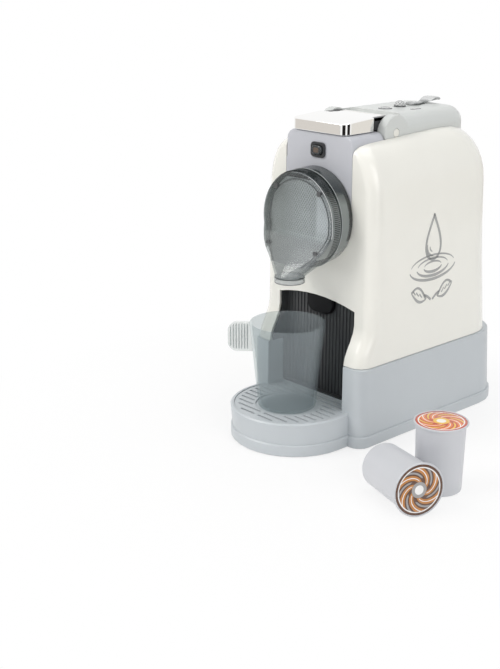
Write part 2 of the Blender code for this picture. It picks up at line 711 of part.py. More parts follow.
def cup():
    floor = cup_seat() + GAP
    rim = floor + CUP_HEIGHT
    slope = (CUP_RIM_RADIUS - CUP_FOOT_RADIUS) / CUP_HEIGHT
    inside_foot = CUP_FOOT_RADIUS + slope * CUP_FLOOR - CUP_WALL
    profile = [(0, floor), (CUP_FOOT_RADIUS - GAP, floor), (CUP_FOOT_RADIUS, floor + GAP), (CUP_RIM_RADIUS, rim - GAP),
               (CUP_RIM_RADIUS - GAP, rim), (CUP_RIM_RADIUS - CUP_WALL + GAP, rim),
               (CUP_RIM_RADIUS - CUP_WALL, rim - GAP), (inside_foot, floor + CUP_FLOOR), (0, floor + CUP_FLOOR)]
    where = Matrix.Translation((0, CUP_CENTRE, 0))
    made = make_object("cup", turned(profile, TURN_STEPS), "cup_smoke", where)
    inner = CUP_RIM_RADIUS - slope * TAB_HEIGHT - CUP_WALL / 2
    outer = CUP_RIM_RADIUS + TAB_REACH
    low, high = rim - TAB_HEIGHT, rim - GAP
    outline = ([(inner, low)] + arc(outer - TAB_ROUND, low + TAB_ROUND, TAB_ROUND, -90, 0, 5)
               + arc(outer - TAB_ROUND, high - TAB_ROUND, TAB_ROUND, 0, 90, 5)
               + [(CUP_RIM_RADIUS - CUP_WALL / 2, high)])
    turn = where @ Matrix.Rotation(math.radians(TAB_TURN_DEG), 4, "Z")
    join(made, make_object("cup_tab", wall(outline, -TAB_THICK / 2, TAB_THICK / 2), matrix=turn))
    step = TAB_REACH / (TAB_RIB_COUNT + 1)
    for number in range(TAB_RIB_COUNT):
        u = CUP_RIM_RADIUS + step * (number + 0.75)
        margin = TAB_RIB * 3 + (TAB_ROUND / 2 if number == TAB_RIB_COUNT - 1 else 0)
        rib = block(u - TAB_RIB / 2, u + TAB_RIB / 2, -TAB_THICK / 2 - TAB_RIB / 2, TAB_THICK / 2 + TAB_RIB / 2,
                    low + margin, high - margin)
        join(made, make_object(f"cup_tab_rib_{number + 1}", rib, matrix=turn))
    return made


# White body

def body_front(z):
    """The face is flat above and flares forwards in an S towards its foot."""
    foot = SKIRT_TOP + GAP
    return -BODY_FLARE * (1.0 - smooth_share((z - foot) / (FLARE_TOP - foot)))


def body_ring(z, lean_share, half, rear, front_extra, inset, steps):
    front_round = max(BODY_FRONT_ROUND - inset, 2 * BODY_WALL)
    rear_round = max(min(BODY_REAR_ROUND, half - GAP) - inset, 2 * BODY_WALL)
    ring = []
    outline = plan(half - inset, body_front(z) + front_extra + inset, rear - inset, front_round, rear_round, *steps)
    for x, y in outline:
        along = min(max(y, 0.0), BODY_TOP_BACK)
        rise = BODY_TOP_RISE * (1.0 - (1.0 - along / BODY_TOP_BACK) ** 2)
        ring.append((x, y, z + lean_share * rise - inset * lean_share))
    return ring


def body_form(inset, drop, steps, flare_steps, shoulder_steps):
    """The closed outer form of the body, or its inner form when inset by the wall."""
    foot = SKIRT_TOP + GAP - drop
    rings = []
    heights = [foot + (FLARE_TOP - foot) * step / flare_steps for step in range(flare_steps + 1)]
    heights += [FLARE_TOP + (SHOULDER_START - FLARE_TOP) * share for share in (0.33, 0.66, 1.0)]
    for z in heights:
        share = (z - heights[0]) / (SHOULDER_START - heights[0])
        half = BODY_HALF + (BODY_SHOULDER_HALF - BODY_HALF) * share ** 2
        rear = BODY_REAR_FOOT + (BODY_REAR_SHOULDER - BODY_REAR_FOOT) * math.sin(share * math.pi / 2)
        rings.append(body_ring(z, 0.0, half, rear, 0.0, inset, steps))
    height = BODY_TOP - SHOULDER_START
    for step in range(1, shoulder_steps + 1):
        angle = math.pi / 2 * step / shoulder_steps
        z = SHOULDER_START + height * math.sin(angle)
        half = STRIP_HALF + (BODY_SHOULDER_HALF - STRIP_HALF) * math.cos(angle)
        rear = BODY_TOP_BACK + (BODY_REAR_SHOULDER - BODY_TOP_BACK) * math.cos(angle)
        near_top = max(0.0, 1.0 - (BODY_TOP - z) / BODY_TOP_FRONT_ROUND)
        extra = BODY_TOP_FRONT_ROUND * (1.0 - math.sqrt(max(0.0, 1.0 - near_top ** 2)))
        rings.append(body_ring(z, math.sin(angle), half, rear, extra, inset, steps))
    return loft(rings)


def mouth_outline(half, foot, rise=0.0):
    """The alcove's opening: upright sides and a shallow arch."""
    corner, top = MOUTH_CORNER + rise, MOUTH_TOP + rise
    sag = top - corner
    radius = (half * half + sag * sag) / (2 * sag)
    spread = math.degrees(math.asin(half / radius))
    return [(-half, foot), (half, foot)] + arc(0, top - radius, radius, 90 - spread, 90 + spread, 8)


def body_shell():
    shell = make_object("body_shell", body_form(0, 0, (4, 6), 5, 8), "body_white")
    cut(shell, make_object("body_hollow", body_form(BODY_WALL, OVERRUN, (2, 4), 4, 6)))
    mouth = wall(mouth_outline(MOUTH_HALF, SKIRT_TOP - OVERRUN), SKIRT_FRONT - OVERRUN, BODY_WALL + OVERRUN)
    cut(shell, make_object("mouth_cut", mouth))
    half = STRIP_HALF + GAP
    front_slot = [(half, STRIP_FOOT)] + [(-half, STRIP_FOOT)] + arc(0, DRUM_BACK_CENTRE, half, 180, 360, 16)
    cut(shell, make_object("front_slot", wall(front_slot, -OVERRUN, BODY_WALL + OVERRUN)))
    top_slot = plan(half, -OVERRUN, DECK_REAR + GAP, GAP, DECK_REAR_CORNER + GAP)
    cut(shell, make_object("top_slot", slab(top_slot, STRIP_FOOT - GAP, DECK_TOP + OVERRUN)))
    return shell


# Front panel

def strip_outline(inset, foot):
    half, top = STRIP_HALF - inset, STRIP_TOP - inset
    corner = STRIP_CORNER - inset
    return ([(half, foot)] + arc(half - corner, top - corner, corner, 0, 90)
            + arc(corner - half, top - corner, corner, 90, 180) + [(-half, foot)])


def front_panel():
    rings = []
    for y, inset in ((0, STRIP_EDGE), (STRIP_EDGE * 0.3, STRIP_EDGE * 0.3), (STRIP_EDGE, 0), (STRIP_DEPTH, 0)):
        rings.append([(x, y, z) for x, z in strip_outline(inset, STRIP_FOOT)])
    panel = make_object("front_panel", loft(rings), "strip_grey")
    half = STRIP_HALF
    skirt = [(half, STRIP_FOOT + OVERRUN), (-half, STRIP_FOOT + OVERRUN)] + arc(0, DRUM_BACK_CENTRE, half, 180, 360, 16)
    join(panel, make_object("panel_skirt", wall(skirt, 0, STRIP_WALL)))
    hollow = wall(strip_outline(STRIP_WALL, STRIP_FOOT - OVERRUN), STRIP_WALL, STRIP_DEPTH + OVERRUN)
    throat = rod(well_radius() + GAP, (0, WELL_CENTRE, STRIP_TOP - 2 * OVERRUN), (0, WELL_CENTRE, STRIP_TOP + OVERRUN),
                 TURN_STEPS)
    hub = rod(HUB_RADIUS + GAP, (0, -OVERRUN, DRUM_BACK_CENTRE), (0, OVERRUN, DRUM_BACK_CENTRE), TURN_STEPS)
    button = bezel_outline(FRONT_BUTTON_WIDTH / 2 + BEZEL_SLEEVE + 2 * GAP, FRONT_BUTTON_HEIGHT / 2 + BEZEL_SLEEVE + 2 * GAP)
    cut(panel, make_object("panel_hollow", hollow), make_object("panel_throat", throat),
        make_object("panel_hub", hub), make_object("panel_button", wall(button, -OVERRUN, STRIP_WALL + OVERRUN)))
    for number, (x, y) in enumerate(well_screw_places(), 1):
        boss = rod(SMALL_HEAD + GAP, (x, y, well_tab_top() + GAP), (x, y, STRIP_TOP - STRIP_WALL / 2), SCREW_STEPS)
        pilot = rod(SMALL_SHANK + GAP, (x, y, STRIP_TOP - 3 * STRIP_WALL), (x, y, STRIP_TOP - STRIP_WALL / 2), SCREW_STEPS - 2)
        join(panel, make_object(f"panel_boss_{number}", boss))
        cut(panel, make_object(f"panel_pilot_{number}", pilot))
    return panel


# Lining of the alcove

LINER_HALF = ALCOVE_HALF - LINER_CLEARANCE


def back_panel():
    foot = TRAY_TOP + GAP
    rear = LINER_BACK + LINER_BACK_THICK
    form = wall(mouth_outline(LINER_HALF, foot, LINER_RISE), SKIRT_FRONT, rear)
    panel = make_object("back_panel", form, "satin_black")
    inner_foot = foot + LINER_WALL
    inside = wall(mouth_outline(LINER_HALF - LINER_WALL, inner_foot, LINER_RISE - LINER_WALL),
                  SKIRT_FRONT - OVERRUN, LINER_BACK)
    trim = [(SKIRT_FRONT - OVERRUN, foot - OVERRUN), (GRILLE_REAR + 2 * GAP, foot - OVERRUN),
            (GRILLE_REAR + 2 * GAP, SKIRT_TOP)]
    steps = 8
    for step in range(steps + 1):
        z = SKIRT_TOP + GAP + (FLARE_TOP - SKIRT_TOP) * step / steps
        trim.append((body_front(z) + BODY_WALL + 3 * GAP, z))
    trim += [(BODY_WALL + GAP, MOUTH_TOP + OVERRUN), (SKIRT_FRONT - OVERRUN, MOUTH_TOP + OVERRUN)]
    across = LINER_HALF + OVERRUN
    cut(panel, make_object("liner_inside", inside), make_object("liner_trim", bar(trim, -across, across)))

    count = int((LINER_HALF - LINER_WALL) / RIB_PITCH)
    front, back = LINER_BACK - RIB_DEPTH, LINER_BACK + LINER_BACK_THICK / 2
    outline = []
    for number in range(-count, count + 1):
        x = number * RIB_PITCH
        outline += [(x - RIB_WIDTH / 2, LINER_BACK + GAP), (x - RIB_WIDTH / 4, front), (x + RIB_WIDTH / 4, front),
                    (x + RIB_WIDTH / 2, LINER_BACK + GAP)]
    outline += [(outline[-1][0], back), (outline[0][0], back)]
    ribs = make_object("liner_ribs", slab(outline, inner_foot - GAP, MOUTH_TOP + OVERRUN))
    arch = wall(mouth_outline(LINER_HALF - LINER_WALL / 2, foot + LINER_WALL / 2, LINER_RISE - LINER_WALL / 2),
                front - OVERRUN, back + OVERRUN)
    combine(ribs, make_object("liner_arch", arch), "INTERSECT")
    return join(panel, ribs)


def splash_tongue():
    half, foot = TONGUE_HALF, TONGUE_FOOT
    top = MOUTH_TOP + LINER_RISE - LINER_WALL - (MOUTH_TOP - MOUTH_CORNER) * (half / MOUTH_HALF) ** 2 - GAP
    outline = ([(half, top)] + [(-half, top)] + arc(TONGUE_ROUND - half, foot + TONGUE_ROUND, TONGUE_ROUND, 180, 270)
               + arc(half - TONGUE_ROUND, foot + TONGUE_ROUND, TONGUE_ROUND, 270, 360))
    rear = LINER_BACK - RIB_DEPTH - GAP
    rings = []
    for y, inset_share in ((TONGUE_FRONT, 0.88), (TONGUE_FRONT + 2 * GAP, 0.96), (rear, 1.0)):
        middle = (foot + top) / 2
        rings.append([(x * inset_share, y, middle + (z - middle) * inset_share) for x, z in outline])
    return make_object("splash_tongue", loft(rings), "gloss_black")


# Drum

def drum_back():
    rear = -GAP
    front = DRUM_SEAM + GAP

    def ring(y, inset, overrun=0.0):
        share = y / DRUM_SEAM
        radius = DRUM_BACK_RADIUS + (DRUM_SEAM_RADIUS - DRUM_BACK_RADIUS) * share - inset
        centre = DRUM_BACK_CENTRE + (DRUM_SEAM_CENTRE - DRUM_BACK_CENTRE) * share
        return [(x, y - overrun, z) for x, z in arc(0, centre, radius, 0, 360, TURN_STEPS + 8)[:-1]]

    edge = 2 * GAP
    outer = [ring(rear, edge), ring(rear - edge, 0), ring(front, 0)]
    shell = make_object("drum_back", loft(outer), "smoke_clear")
    inner = [ring(rear - DRUM_WALL, DRUM_WALL), ring(front, DRUM_WALL, OVERRUN)]
    cut(shell, make_object("drum_back_hollow", loft(inner)))
    centre = DRUM_BACK_CENTRE
    hub = rod(HUB_RADIUS, (0, rear - DRUM_WALL / 2, centre), (0, HUB_DEPTH, centre), TURN_STEPS)
    join(shell, make_object("drum_hub", hub))
    for number, (x, z) in enumerate(drum_screw_places(), 1):
        boss = rod(DRUM_BOSS_RADIUS, (x, rear - DRUM_WALL / 2, z), (x, front + GAP, z), SCREW_STEPS)
        join(shell, make_object(f"drum_back_boss_{number}", boss))
        pilot = rod(SMALL_SHANK + GAP, (x, rear - DRUM_WALL, z), (x, front - OVERRUN, z), SCREW_STEPS)
        cut(shell, make_object(f"drum_back_pilot_{number}", pilot))
    return shell


def drum_screw_places():
    places = [(side * DRUM_SCREW_HIGH_HALF, DRUM_SCREW_HIGH) for side in (-1, 1)]
    return places + [(side * DRUM_SCREW_LOW_HALF, DRUM_SCREW_LOW) for side in (-1, 1)]


def drum_face(z):
    """The drum's face stands upright above and leans forwards to the spout below."""
    reach = SPOUT_RADIUS - SPOUT_CENTRE + DRUM_FRONT
    share = max(0.0, (LEAN_START - z) / (LEAN_START - SPOUT_TOP))
    return DRUM_FRONT - reach * share ** 1.15


def drum_section(z, inset, back_open):
    """A level section of the drum's front: half width, front, back and corner round."""
    share = min(1.0, max(0.0, (FUNNEL_START - z) / (FUNNEL_START - SPOUT_TOP)))
    edge = math.sqrt(DRUM_FRONT_RADIUS ** 2 - (FUNNEL_START - DRUM_FRONT_CENTRE) ** 2)
    if z > FUNNEL_START:
        half = math.sqrt(max(0.0, DRUM_FRONT_RADIUS ** 2 - (z - DRUM_FRONT_CENTRE) ** 2))
    else:
        half = edge + (SPOUT_RADIUS - edge) * share ** 0.94
    front = drum_face(z) + inset
    back = DRUM_SEAM + (SPOUT_CENTRE + SPOUT_RADIUS - DRUM_SEAM) * smooth_share(share)
    if back_open:
        back += OVERRUN * (1.0 - share) - inset * share
    half = max(half - inset, GAP)
    limit = min(half, (back - front) / 2)
    round_share = smooth_share((LEAN_START - z) / (LEAN_START - SPOUT_TOP))
    corner = min(limit, DRUM_EDGE) + (limit - min(limit, DRUM_EDGE)) * round_share
    return half, front, back, corner * 0.98


def section_ring(z, inset=0.0, back_open=False, steps=4):
    half, front, back, corner = drum_section(z, inset, back_open)
    return [(x, y, z) for x, y in plan(half, front, back, corner, corner, steps, steps)]


def drum_levels(low, high, count):
    centre = DRUM_FRONT_CENTRE
    radius = high - centre
    levels = []
    start = math.asin(max(-1.0, (low - centre) / radius)) if low > centre - radius else -math.pi / 2
    for step in range(count + 1):
        angle = start + (math.pi / 2 - start) * step / count
        levels.append(centre + radius * math.sin(angle))
    return levels


def drum_front():
    top = DRUM_FRONT_CENTRE + DRUM_FRONT_RADIUS - GAP / 3
    funnel_steps = 4
    levels = [SPOUT_TOP + (FUNNEL_START - SPOUT_TOP) * step / funnel_steps for step in range(funnel_steps)]
    outer = levels + drum_levels(FUNNEL_START, top, 11)
    shell = make_object("drum_front", loft([section_ring(z) for z in outer]), "smoke_clear")
    inner = [SPOUT_TOP - OVERRUN / 2] + levels[1:] + drum_levels(FUNNEL_START, top - DRUM_WALL, 8)
    cut(shell, make_object("drum_front_hollow", loft([section_ring(z, DRUM_WALL, True, 3) for z in inner])))
    for number, (x, z) in enumerate(drum_screw_places(), 1):
        face = drum_face(z)
        boss = rod(DRUM_BOSS_RADIUS, (x, face - DRUM_BOSS_PROUD, z), (x, face + SCREEN_SETBACK - GAP, z), SCREW_STEPS)
        join(shell, make_object(f"drum_boss_{number}", boss))
        hole = rod(SMALL_SHANK + GAP, (x, face - OVERRUN, z), (x, face + 2 * OVERRUN, z), SCREW_STEPS - 2)
        sink = rod(SMALL_HEAD + GAP, (x, face - OVERRUN, z), (x, face - DRUM_BOSS_PROUD + SMALL_HEAD_THICK, z), SCREW_STEPS + 1)
        cut(shell, make_object(f"drum_hole_{number}", hole), make_object(f"drum_sink_{number}", sink))
    return shell


def drum_screen():
    """A thin bent plate just behind the drum's face."""
    top = DRUM_FRONT_CENTRE + DRUM_FRONT_RADIUS - SCREEN_BORDER
    levels = drum_levels(SCREEN_FOOT, top, 12)
    rings = []
    for z in levels:
        section = drum_section(z, SCREEN_BORDER, False)
        half = section[0] - section[3] * 0.6
        face = drum_face(z) + SCREEN_SETBACK
        rings.append([(-half, face, z), (half, face, z), (half, face + SCREEN_THICK, z), (-half, face + SCREEN_THICK, z)])
    screen = make_object("drum_screen", loft(rings), "screen_steel")
    for number, (x, z) in enumerate(drum_screw_places(), 1):
        face = drum_face(z)
        hole = rod(DRUM_BOSS_RADIUS + GAP, (x, face - OVERRUN, z), (x, face + 2 * OVERRUN, z), SCREW_STEPS)
        cut(screen, make_object(f"screen_hole_{number}", hole))
    return screen


def drum_screws():
    for number, (x, z) in enumerate(drum_screw_places(), 1):
        start = drum_face(z) - DRUM_BOSS_PROUD + GAP
        reach = DRUM_SEAM - start + SMALL_THREAD / 2
        screw(f"drum_screw_{number}", SMALL_SHANK, SMALL_HEAD, SMALL_HEAD_THICK - 2 * GAP, reach, (x, start, z), (0, 1, 0), True)


def spout_ring():
    top = SPOUT_TOP - GAP
    spigot = SPOUT_RADIUS - DRUM_WALL - SPIGOT_CLEARANCE
    outer = SPOUT_RADIUS + SPOUT_RING_OUT
    profile = [(SPOUT_BORE, SPOUT_FOOT), (outer - GAP, SPOUT_FOOT), (outer, SPOUT_FOOT + GAP), (outer, top - GAP),
               (outer - GAP, top), (spigot, top), (spigot, top + SPIGOT_RISE), (SPOUT_BORE, top + SPIGOT_RISE)]
    return make_object("spout_ring", turned(profile, 24), "smoke_clear", Matrix.Translation((0, SPOUT_CENTRE, 0)))


# Pod well

def well_radius():
    return POD_RIM_RADIUS + WELL_CLEARANCE + WELL_WALL


def well_top():
    return STRIP_TOP - STRIP_WALL - GAP


def well_tab_top():
    return well_top() - WELL_TAB_DROP


def well_screw_places():
    y = (WELL_TAB_FRONT + WELL_TAB_REAR) / 2
    return [(side * (WELL_TAB_HALF - WELL_SCREW_INSET), y) for side in (-1, 1)]


def pod_well():
    bore, outer = POD_RIM_RADIUS + WELL_CLEARANCE, well_radius()
    top = well_top()
    floor = top - POD_HEIGHT - WELL_SPARE_DEPTH
    profile = [(WELL_DRAIN, floor - WELL_FLOOR), (outer, floor - WELL_FLOOR), (outer, top), (bore, top), (bore, floor), (WELL_DRAIN, floor)]
    well = make_object("pod_well", turned(profile), "deck_grey", Matrix.Translation((0, WELL_CENTRE, 0)))
    tab_top = well_tab_top()
    tab = block(-WELL_TAB_HALF, WELL_TAB_HALF, WELL_TAB_FRONT, WELL_TAB_REAR, tab_top - WELL_TAB_THICK, tab_top)
    tabs = make_object("well_tabs", tab)
    pad_half = SWITCH_HALF + GAP
    pad = block(-pad_half, pad_half, switch_rear() + GAP, WELL_CENTRE, FRONT_BUTTON_Z - pad_half, FRONT_BUTTON_Z + pad_half)
    join(tabs, make_object("well_pad", pad))
    core = rod((bore + outer) / 2, (0, WELL_CENTRE, floor), (0, WELL_CENTRE, top + OVERRUN), TURN_STEPS)
    cut(tabs, make_object("well_core", core))
    join(well, tabs)
    for number, (x, y) in enumerate(well_screw_places(), 1):
        hole = rod(SMALL_SHANK + GAP, (x, y, top - 2 * OVERRUN), (x, y, top + OVERRUN), SCREW_STEPS)
        cut(well, make_object(f"well_hole_{number}", hole))
    return well


# Lid

def lid_bottom():
    return STRIP_TOP + LID_LIFT


def lid():
    low = lid_bottom()
    front_high = low + LID_FRONT_THICK
    rear_high = front_high + LID_RISE

    def high(y):
        share = min(1.0, max(0.0, (y - LID_FRONT) / (LID_PLATE_REAR - LID_FRONT)))
        return front_high + (rear_high - front_high) * math.sin(share * math.pi / 2)

    corner = LID_CORNER
    outline = plan(LID_HALF, LID_FRONT, LID_PLATE_REAR, corner, LID_EDGE * 2, 8, 3)

    def shrink(x, y, amount):
        middle = (LID_FRONT + LID_PLATE_REAR) / 2
        reach = (LID_PLATE_REAR - LID_FRONT) / 2
        return x * (1 - amount / LID_HALF), middle + (y - middle) * (1 - amount / reach)

    rings = []
    for level, amount in (("low", LID_EDGE / 2), ("low_edge", 0), ("high_edge", 0), ("high", LID_EDGE)):
        ring = []
        for x, y in outline:
            u, v = shrink(x, y, amount)
            z = {"low": low, "low_edge": low + LID_EDGE / 2, "high_edge": high(v) - LID_EDGE, "high": high(v)}[level]
            ring.append((u, v, z))
        rings.append(ring)
    plate = make_object("lid", loft(rings), "lid_chrome")
    arm_out = STRIP_HALF - EAR_THICK - GAP
    neck = bar([(LID_PLATE_REAR - LID_NECK_LAP, rear_high - LID_EDGE - LID_SKIN), (HINGE_Y, rear_high - LID_EDGE - LID_SKIN),
                (HINGE_Y, rear_high - LID_EDGE), (LID_PLATE_REAR - LID_NECK_LAP, rear_high - LID_EDGE)], -arm_out, arm_out)
    join(plate, make_object("lid_neck", neck))
    skin = bar(arc(HINGE_Y, HINGE_Z, ARM_RADIUS, 32, 90, 4) + arc(HINGE_Y, HINGE_Z, ARM_RADIUS - LID_SKIN, 90, 32, 4),
               -arm_out + ARM_THICK / 2, arm_out - ARM_THICK / 2)
    join(plate, make_object("lid_barrel", skin))
    for side in (-1, 1):
        ends = sorted((side * arm_out, side * (arm_out - ARM_THICK)))
        outline = (arc(HINGE_Y, HINGE_Z, ARM_RADIUS, -90, 90, 12)
                   + [(LID_PLATE_REAR - LID_NECK_LAP, HINGE_Z + ARM_RADIUS), (LID_PLATE_REAR - LID_NECK_LAP, low + LID_EDGE)]
                   + arc(HINGE_Y, HINGE_Z, ARM_RADIUS, 168, 270, ROUND_STEPS))
        join(plate, make_object("lid_arm", bar(outline, ends[0], ends[1])))
    inner_half = LID_HALF - LID_SKIN
    pocket = slab(plan(inner_half, LID_FRONT + 2 * LID_SKIN, LID_PLATE_REAR - LID_SKIN, corner - LID_SKIN, LID_EDGE, 3, 2),
                  low - OVERRUN, front_high - LID_SKIN)
    reach = STRIP_HALF
    axle = rod(PIN_RADIUS + GAP, (-reach, HINGE_Y, HINGE_Z), (reach, HINGE_Y, HINGE_Z), 24)
    return cut(plate, make_object("lid_pocket", pocket), make_object("lid_axle", axle))


def hinge_pins():
    inner = STRIP_HALF - EAR_THICK - ARM_THICK
    for side, name in ((-1, "hinge_pin_left"), (1, "hinge_pin_right")):
        start = (side * inner, HINGE_Y, HINGE_Z)
        make_object(name, rod(PIN_RADIUS, start, (side * STRIP_HALF, HINGE_Y, HINGE_Z), 24), "bright_steel")


# Rear deck

def deck_under():
    return DECK_TOP - DECK_WALL


def rear_deck():
    front = HINGE_Y - EAR_RADIUS / 4

    def ring(z, inset, front_inset=0.0):
        return [(x, y, z) for x, y in plan(STRIP_HALF - inset, front + front_inset, DECK_REAR - inset,
                                           2 * GAP, DECK_REAR_CORNER - inset)]

    rings = [ring(STRIP_FOOT, 0)]
    steps = 5
    for step in range(steps + 1):
        angle = math.pi / 2 * step / steps
        rings.append(ring(DECK_TOP - DECK_ROUND * (1 - math.sin(angle)), DECK_ROUND * (1 - math.cos(angle))))
    deck = make_object("rear_deck", loft(rings), "deck_grey")
    ears = rod(EAR_RADIUS, (-STRIP_HALF, HINGE_Y, HINGE_Z), (STRIP_HALF, HINGE_Y, HINGE_Z), 26)
    join(deck, make_object("ear_form", ears))
    skirt_front = STRIP_DEPTH + GAP
    legs = block(-STRIP_HALF, STRIP_HALF, skirt_front, HINGE_Y, STRIP_FOOT, HINGE_Z - EAR_RADIUS / 2)
    join(deck, make_object("deck_legs", legs))

    pocket_half = STRIP_HALF - EAR_THICK
    pocket_radius = ARM_RADIUS + 2 * GAP
    throat = block(-pocket_half, pocket_half, STRIP_DEPTH - OVERRUN, HINGE_Y + pocket_radius,
                   STRIP_FOOT - OVERRUN, DECK_TOP + OVERRUN)
    cut(deck, make_object("deck_throat", throat))
    cavity_front = HINGE_Y + pocket_radius + DECK_WALL
    rings = []
    for z, inset in ((STRIP_FOOT - OVERRUN, DECK_WALL), (DECK_TOP - DECK_ROUND, DECK_WALL),
                     (DECK_TOP - DECK_ROUND * 0.45, DECK_WALL + DECK_ROUND * 0.16), (deck_under(), DECK_ROUND * 0.62)):
        outline = plan(STRIP_HALF - inset, cavity_front, DECK_REAR - inset, GAP, DECK_REAR_CORNER - inset)
        rings.append([(x, y, z) for x, y in outline])
    cut(deck, make_object("deck_hollow", loft(rings)))
    cut(deck, make_object("ear_axle", rod(PIN_RADIUS + GAP, (-STRIP_HALF - OVERRUN, HINGE_Y, HINGE_Z),
                                          (STRIP_HALF + OVERRUN, HINGE_Y, HINGE_Z), 24)))

    low, high = deck_under() - OVERRUN, DECK_TOP + OVERRUN
    for name, y, radius in (("ring_hole", RING_Y, RING_RADIUS), ("lamp_hole", DOME_Y, DOME_RADIUS)):
        cut(deck, make_object(name, rod(radius + GAP, (0, y, low), (0, y, high), 18)))
    cut(deck, make_object("oval_hole", slab(oval_outline(GAP), low, high)))
    stem_hole = block(-ROCKER_STEM_WIDTH - GAP, ROCKER_STEM_WIDTH + GAP, ROCKER_Y - ROCKER_STEM_HALF - 4 * GAP,
                      ROCKER_Y + ROCKER_STEM_HALF + 4 * GAP, low, high)
    cut(deck, make_object("stem_hole", stem_hole))
    axis_z = DECK_TOP - ROCKER_DROP
    for side in (-1, 1):
        ends = sorted((side * (ROCKER_STEM_WIDTH + 2 * GAP), side * (ROCKER_STEM_WIDTH + 2 * GAP + LUG_THICK)))
        lug = block(ends[0], ends[1], ROCKER_Y - LUG_HALF, ROCKER_Y + LUG_HALF, axis_z - LUG_HALF, deck_under() + GAP)
        join(deck, make_object("rocker_lug", lug))
    reach = ROCKER_STEM_WIDTH + 2 * LUG_THICK
    cut(deck, make_object("rocker_bore", rod(ROCKER_PIN + GAP, (-reach, ROCKER_Y, axis_z), (reach, ROCKER_Y, axis_z), 12)))
    for number, (x, y) in enumerate(post_places(), 1):
        post = rod(POST_RADIUS, (x, y, board_top() + GAP), (x, y, deck_under() + GAP), SCREW_STEPS)
        join(deck, make_object(f"board_post_{number}", post))
        pilot = rod(SMALL_SHANK + GAP, (x, y, board_top() - OVERRUN), (x, y, deck_under() - GAP), SCREW_STEPS - 2)
        cut(deck, make_object(f"post_pilot_{number}", pilot))
    return deck


def post_places():
    return [(-POST_X, POST_FRONT_Y), (POST_X, POST_REAR_Y)]


def board_top():
    return deck_under() - BOARD_DROP + BOARD_THICK


def oval_outline(grow=0.0):
    length, width = OVAL_HALF_LENGTH + grow, OVAL_HALF_WIDTH + grow
    return (arc(OVAL_X, OVAL_Y + length - width, width, 0, 180, 6)
            + arc(OVAL_X, OVAL_Y - length + width, width, 180, 360, 6))


def deck_controls():
    under = deck_under()
    stem_foot = board_top() + SWITCH_THICK / 2 + GAP + BUTTON_TRAVEL + GAP
    top = DECK_TOP + RING_PROUD
    flange_top = under - GAP
    profile = [(0, stem_foot), (STEM_RADIUS, stem_foot), (STEM_RADIUS, flange_top - BUTTON_FLANGE_THICK),
               (RING_RADIUS + BUTTON_FLANGE, flange_top - BUTTON_FLANGE_THICK), (RING_RADIUS + BUTTON_FLANGE, flange_top),
               (RING_RADIUS, flange_top), (RING_RADIUS, top - GAP), (RING_RADIUS - GAP, top),
               (RING_RADIUS * 0.72, top), (RING_RADIUS * 0.66, top - RING_DISH), (0, top - RING_DISH)]
    make_object("ring_button", turned(profile, 18), "clear", Matrix.Translation((0, RING_Y, 0)))

    led_room = LED_RADIUS + 2 * GAP
    ceiling = DECK_TOP - GAP
    profile = [(led_room, flange_top - BUTTON_FLANGE_THICK), (DOME_RADIUS + BUTTON_FLANGE, flange_top - BUTTON_FLANGE_THICK),
               (DOME_RADIUS + BUTTON_FLANGE, flange_top), (DOME_RADIUS, flange_top), (DOME_RADIUS, DECK_TOP)]
    for u, v in arc(0, 0, 1, 0, 90, 4)[1:-1]:
        profile.append((DOME_RADIUS * u, DECK_TOP + DOME_RISE * v))
    profile += [(0, DECK_TOP + DOME_RISE), (0, ceiling), (led_room, ceiling)]
    make_object("lamp_dome", turned(profile, 18), "clear", Matrix.Translation((0, DOME_Y, 0)))

    lens = slab(oval_outline(), under + GAP, DECK_TOP + OVAL_PROUD)
    make_object("oval_lens", lens, "smoke_clear")


def rocker():
    """A bow tie of two wings on a stem; its rear wing stands up when the front one is pressed."""
    base = DECK_TOP + 1.4 * GAP
    shares = (
        (-1.00, 0.30, 0.02, 0.14), (-0.88, 0.66, 0.00, 0.30), (-0.60, 0.84, 0.00, 0.38), (-0.33, 0.66, 0.00, 0.32),
        (-0.07, 0.47, 0.00, 0.28), (0.15, 0.52, 0.10, 0.36), (0.35, 0.78, 0.20, 0.60), (0.55, 0.97, 0.34, 0.86),
        (0.75, 1.00, 0.36, 0.94), (0.92, 0.86, 0.26, 0.80), (1.00, 0.50, 0.22, 0.50))
    rings = []
    for along, wide, low, high in shares:
        reach = ROCKER_FRONT_REACH if along < 0 else ROCKER_REAR_REACH
        y = ROCKER_Y + along * reach
        half = ROCKER_HALF * wide
        bottom, top = base + ROCKER_RISE * low, base + ROCKER_RISE * high
        middle, depth = (bottom + top) / 2, (top - bottom) / 2
        ring = []
        for u, v in arc(0, 0, 1, 0, 360, 10)[:-1]:
            ring.append((half * math.copysign(abs(u) ** 0.6, u), y, middle + depth * math.copysign(abs(v) ** 0.8, v)))
        rings.append(ring)
    made = make_object("rocker", loft(rings), "clear")
    axis_z = DECK_TOP - ROCKER_DROP
    stem = block(-ROCKER_STEM_WIDTH, ROCKER_STEM_WIDTH, ROCKER_Y - ROCKER_STEM_HALF, ROCKER_Y + ROCKER_STEM_HALF,
                 axis_z - ROCKER_STEM_HALF, base + ROCKER_RISE / 8)
    join(made, make_object("rocker_stem", stem))
    reach = ROCKER_STEM_WIDTH + OVERRUN
    bore = rod(ROCKER_PIN + GAP, (-reach, ROCKER_Y, axis_z), (reach, ROCKER_Y, axis_z), 12)
    cut(made, make_object("rocker_stem_bore", bore))
    half = ROCKER_STEM_WIDTH + 2 * GAP + LUG_THICK
    make_object("rocker_pin", rod(ROCKER_PIN, (-half, ROCKER_Y, axis_z), (half, ROCKER_Y, axis_z), 12), "bright_steel")
    return made


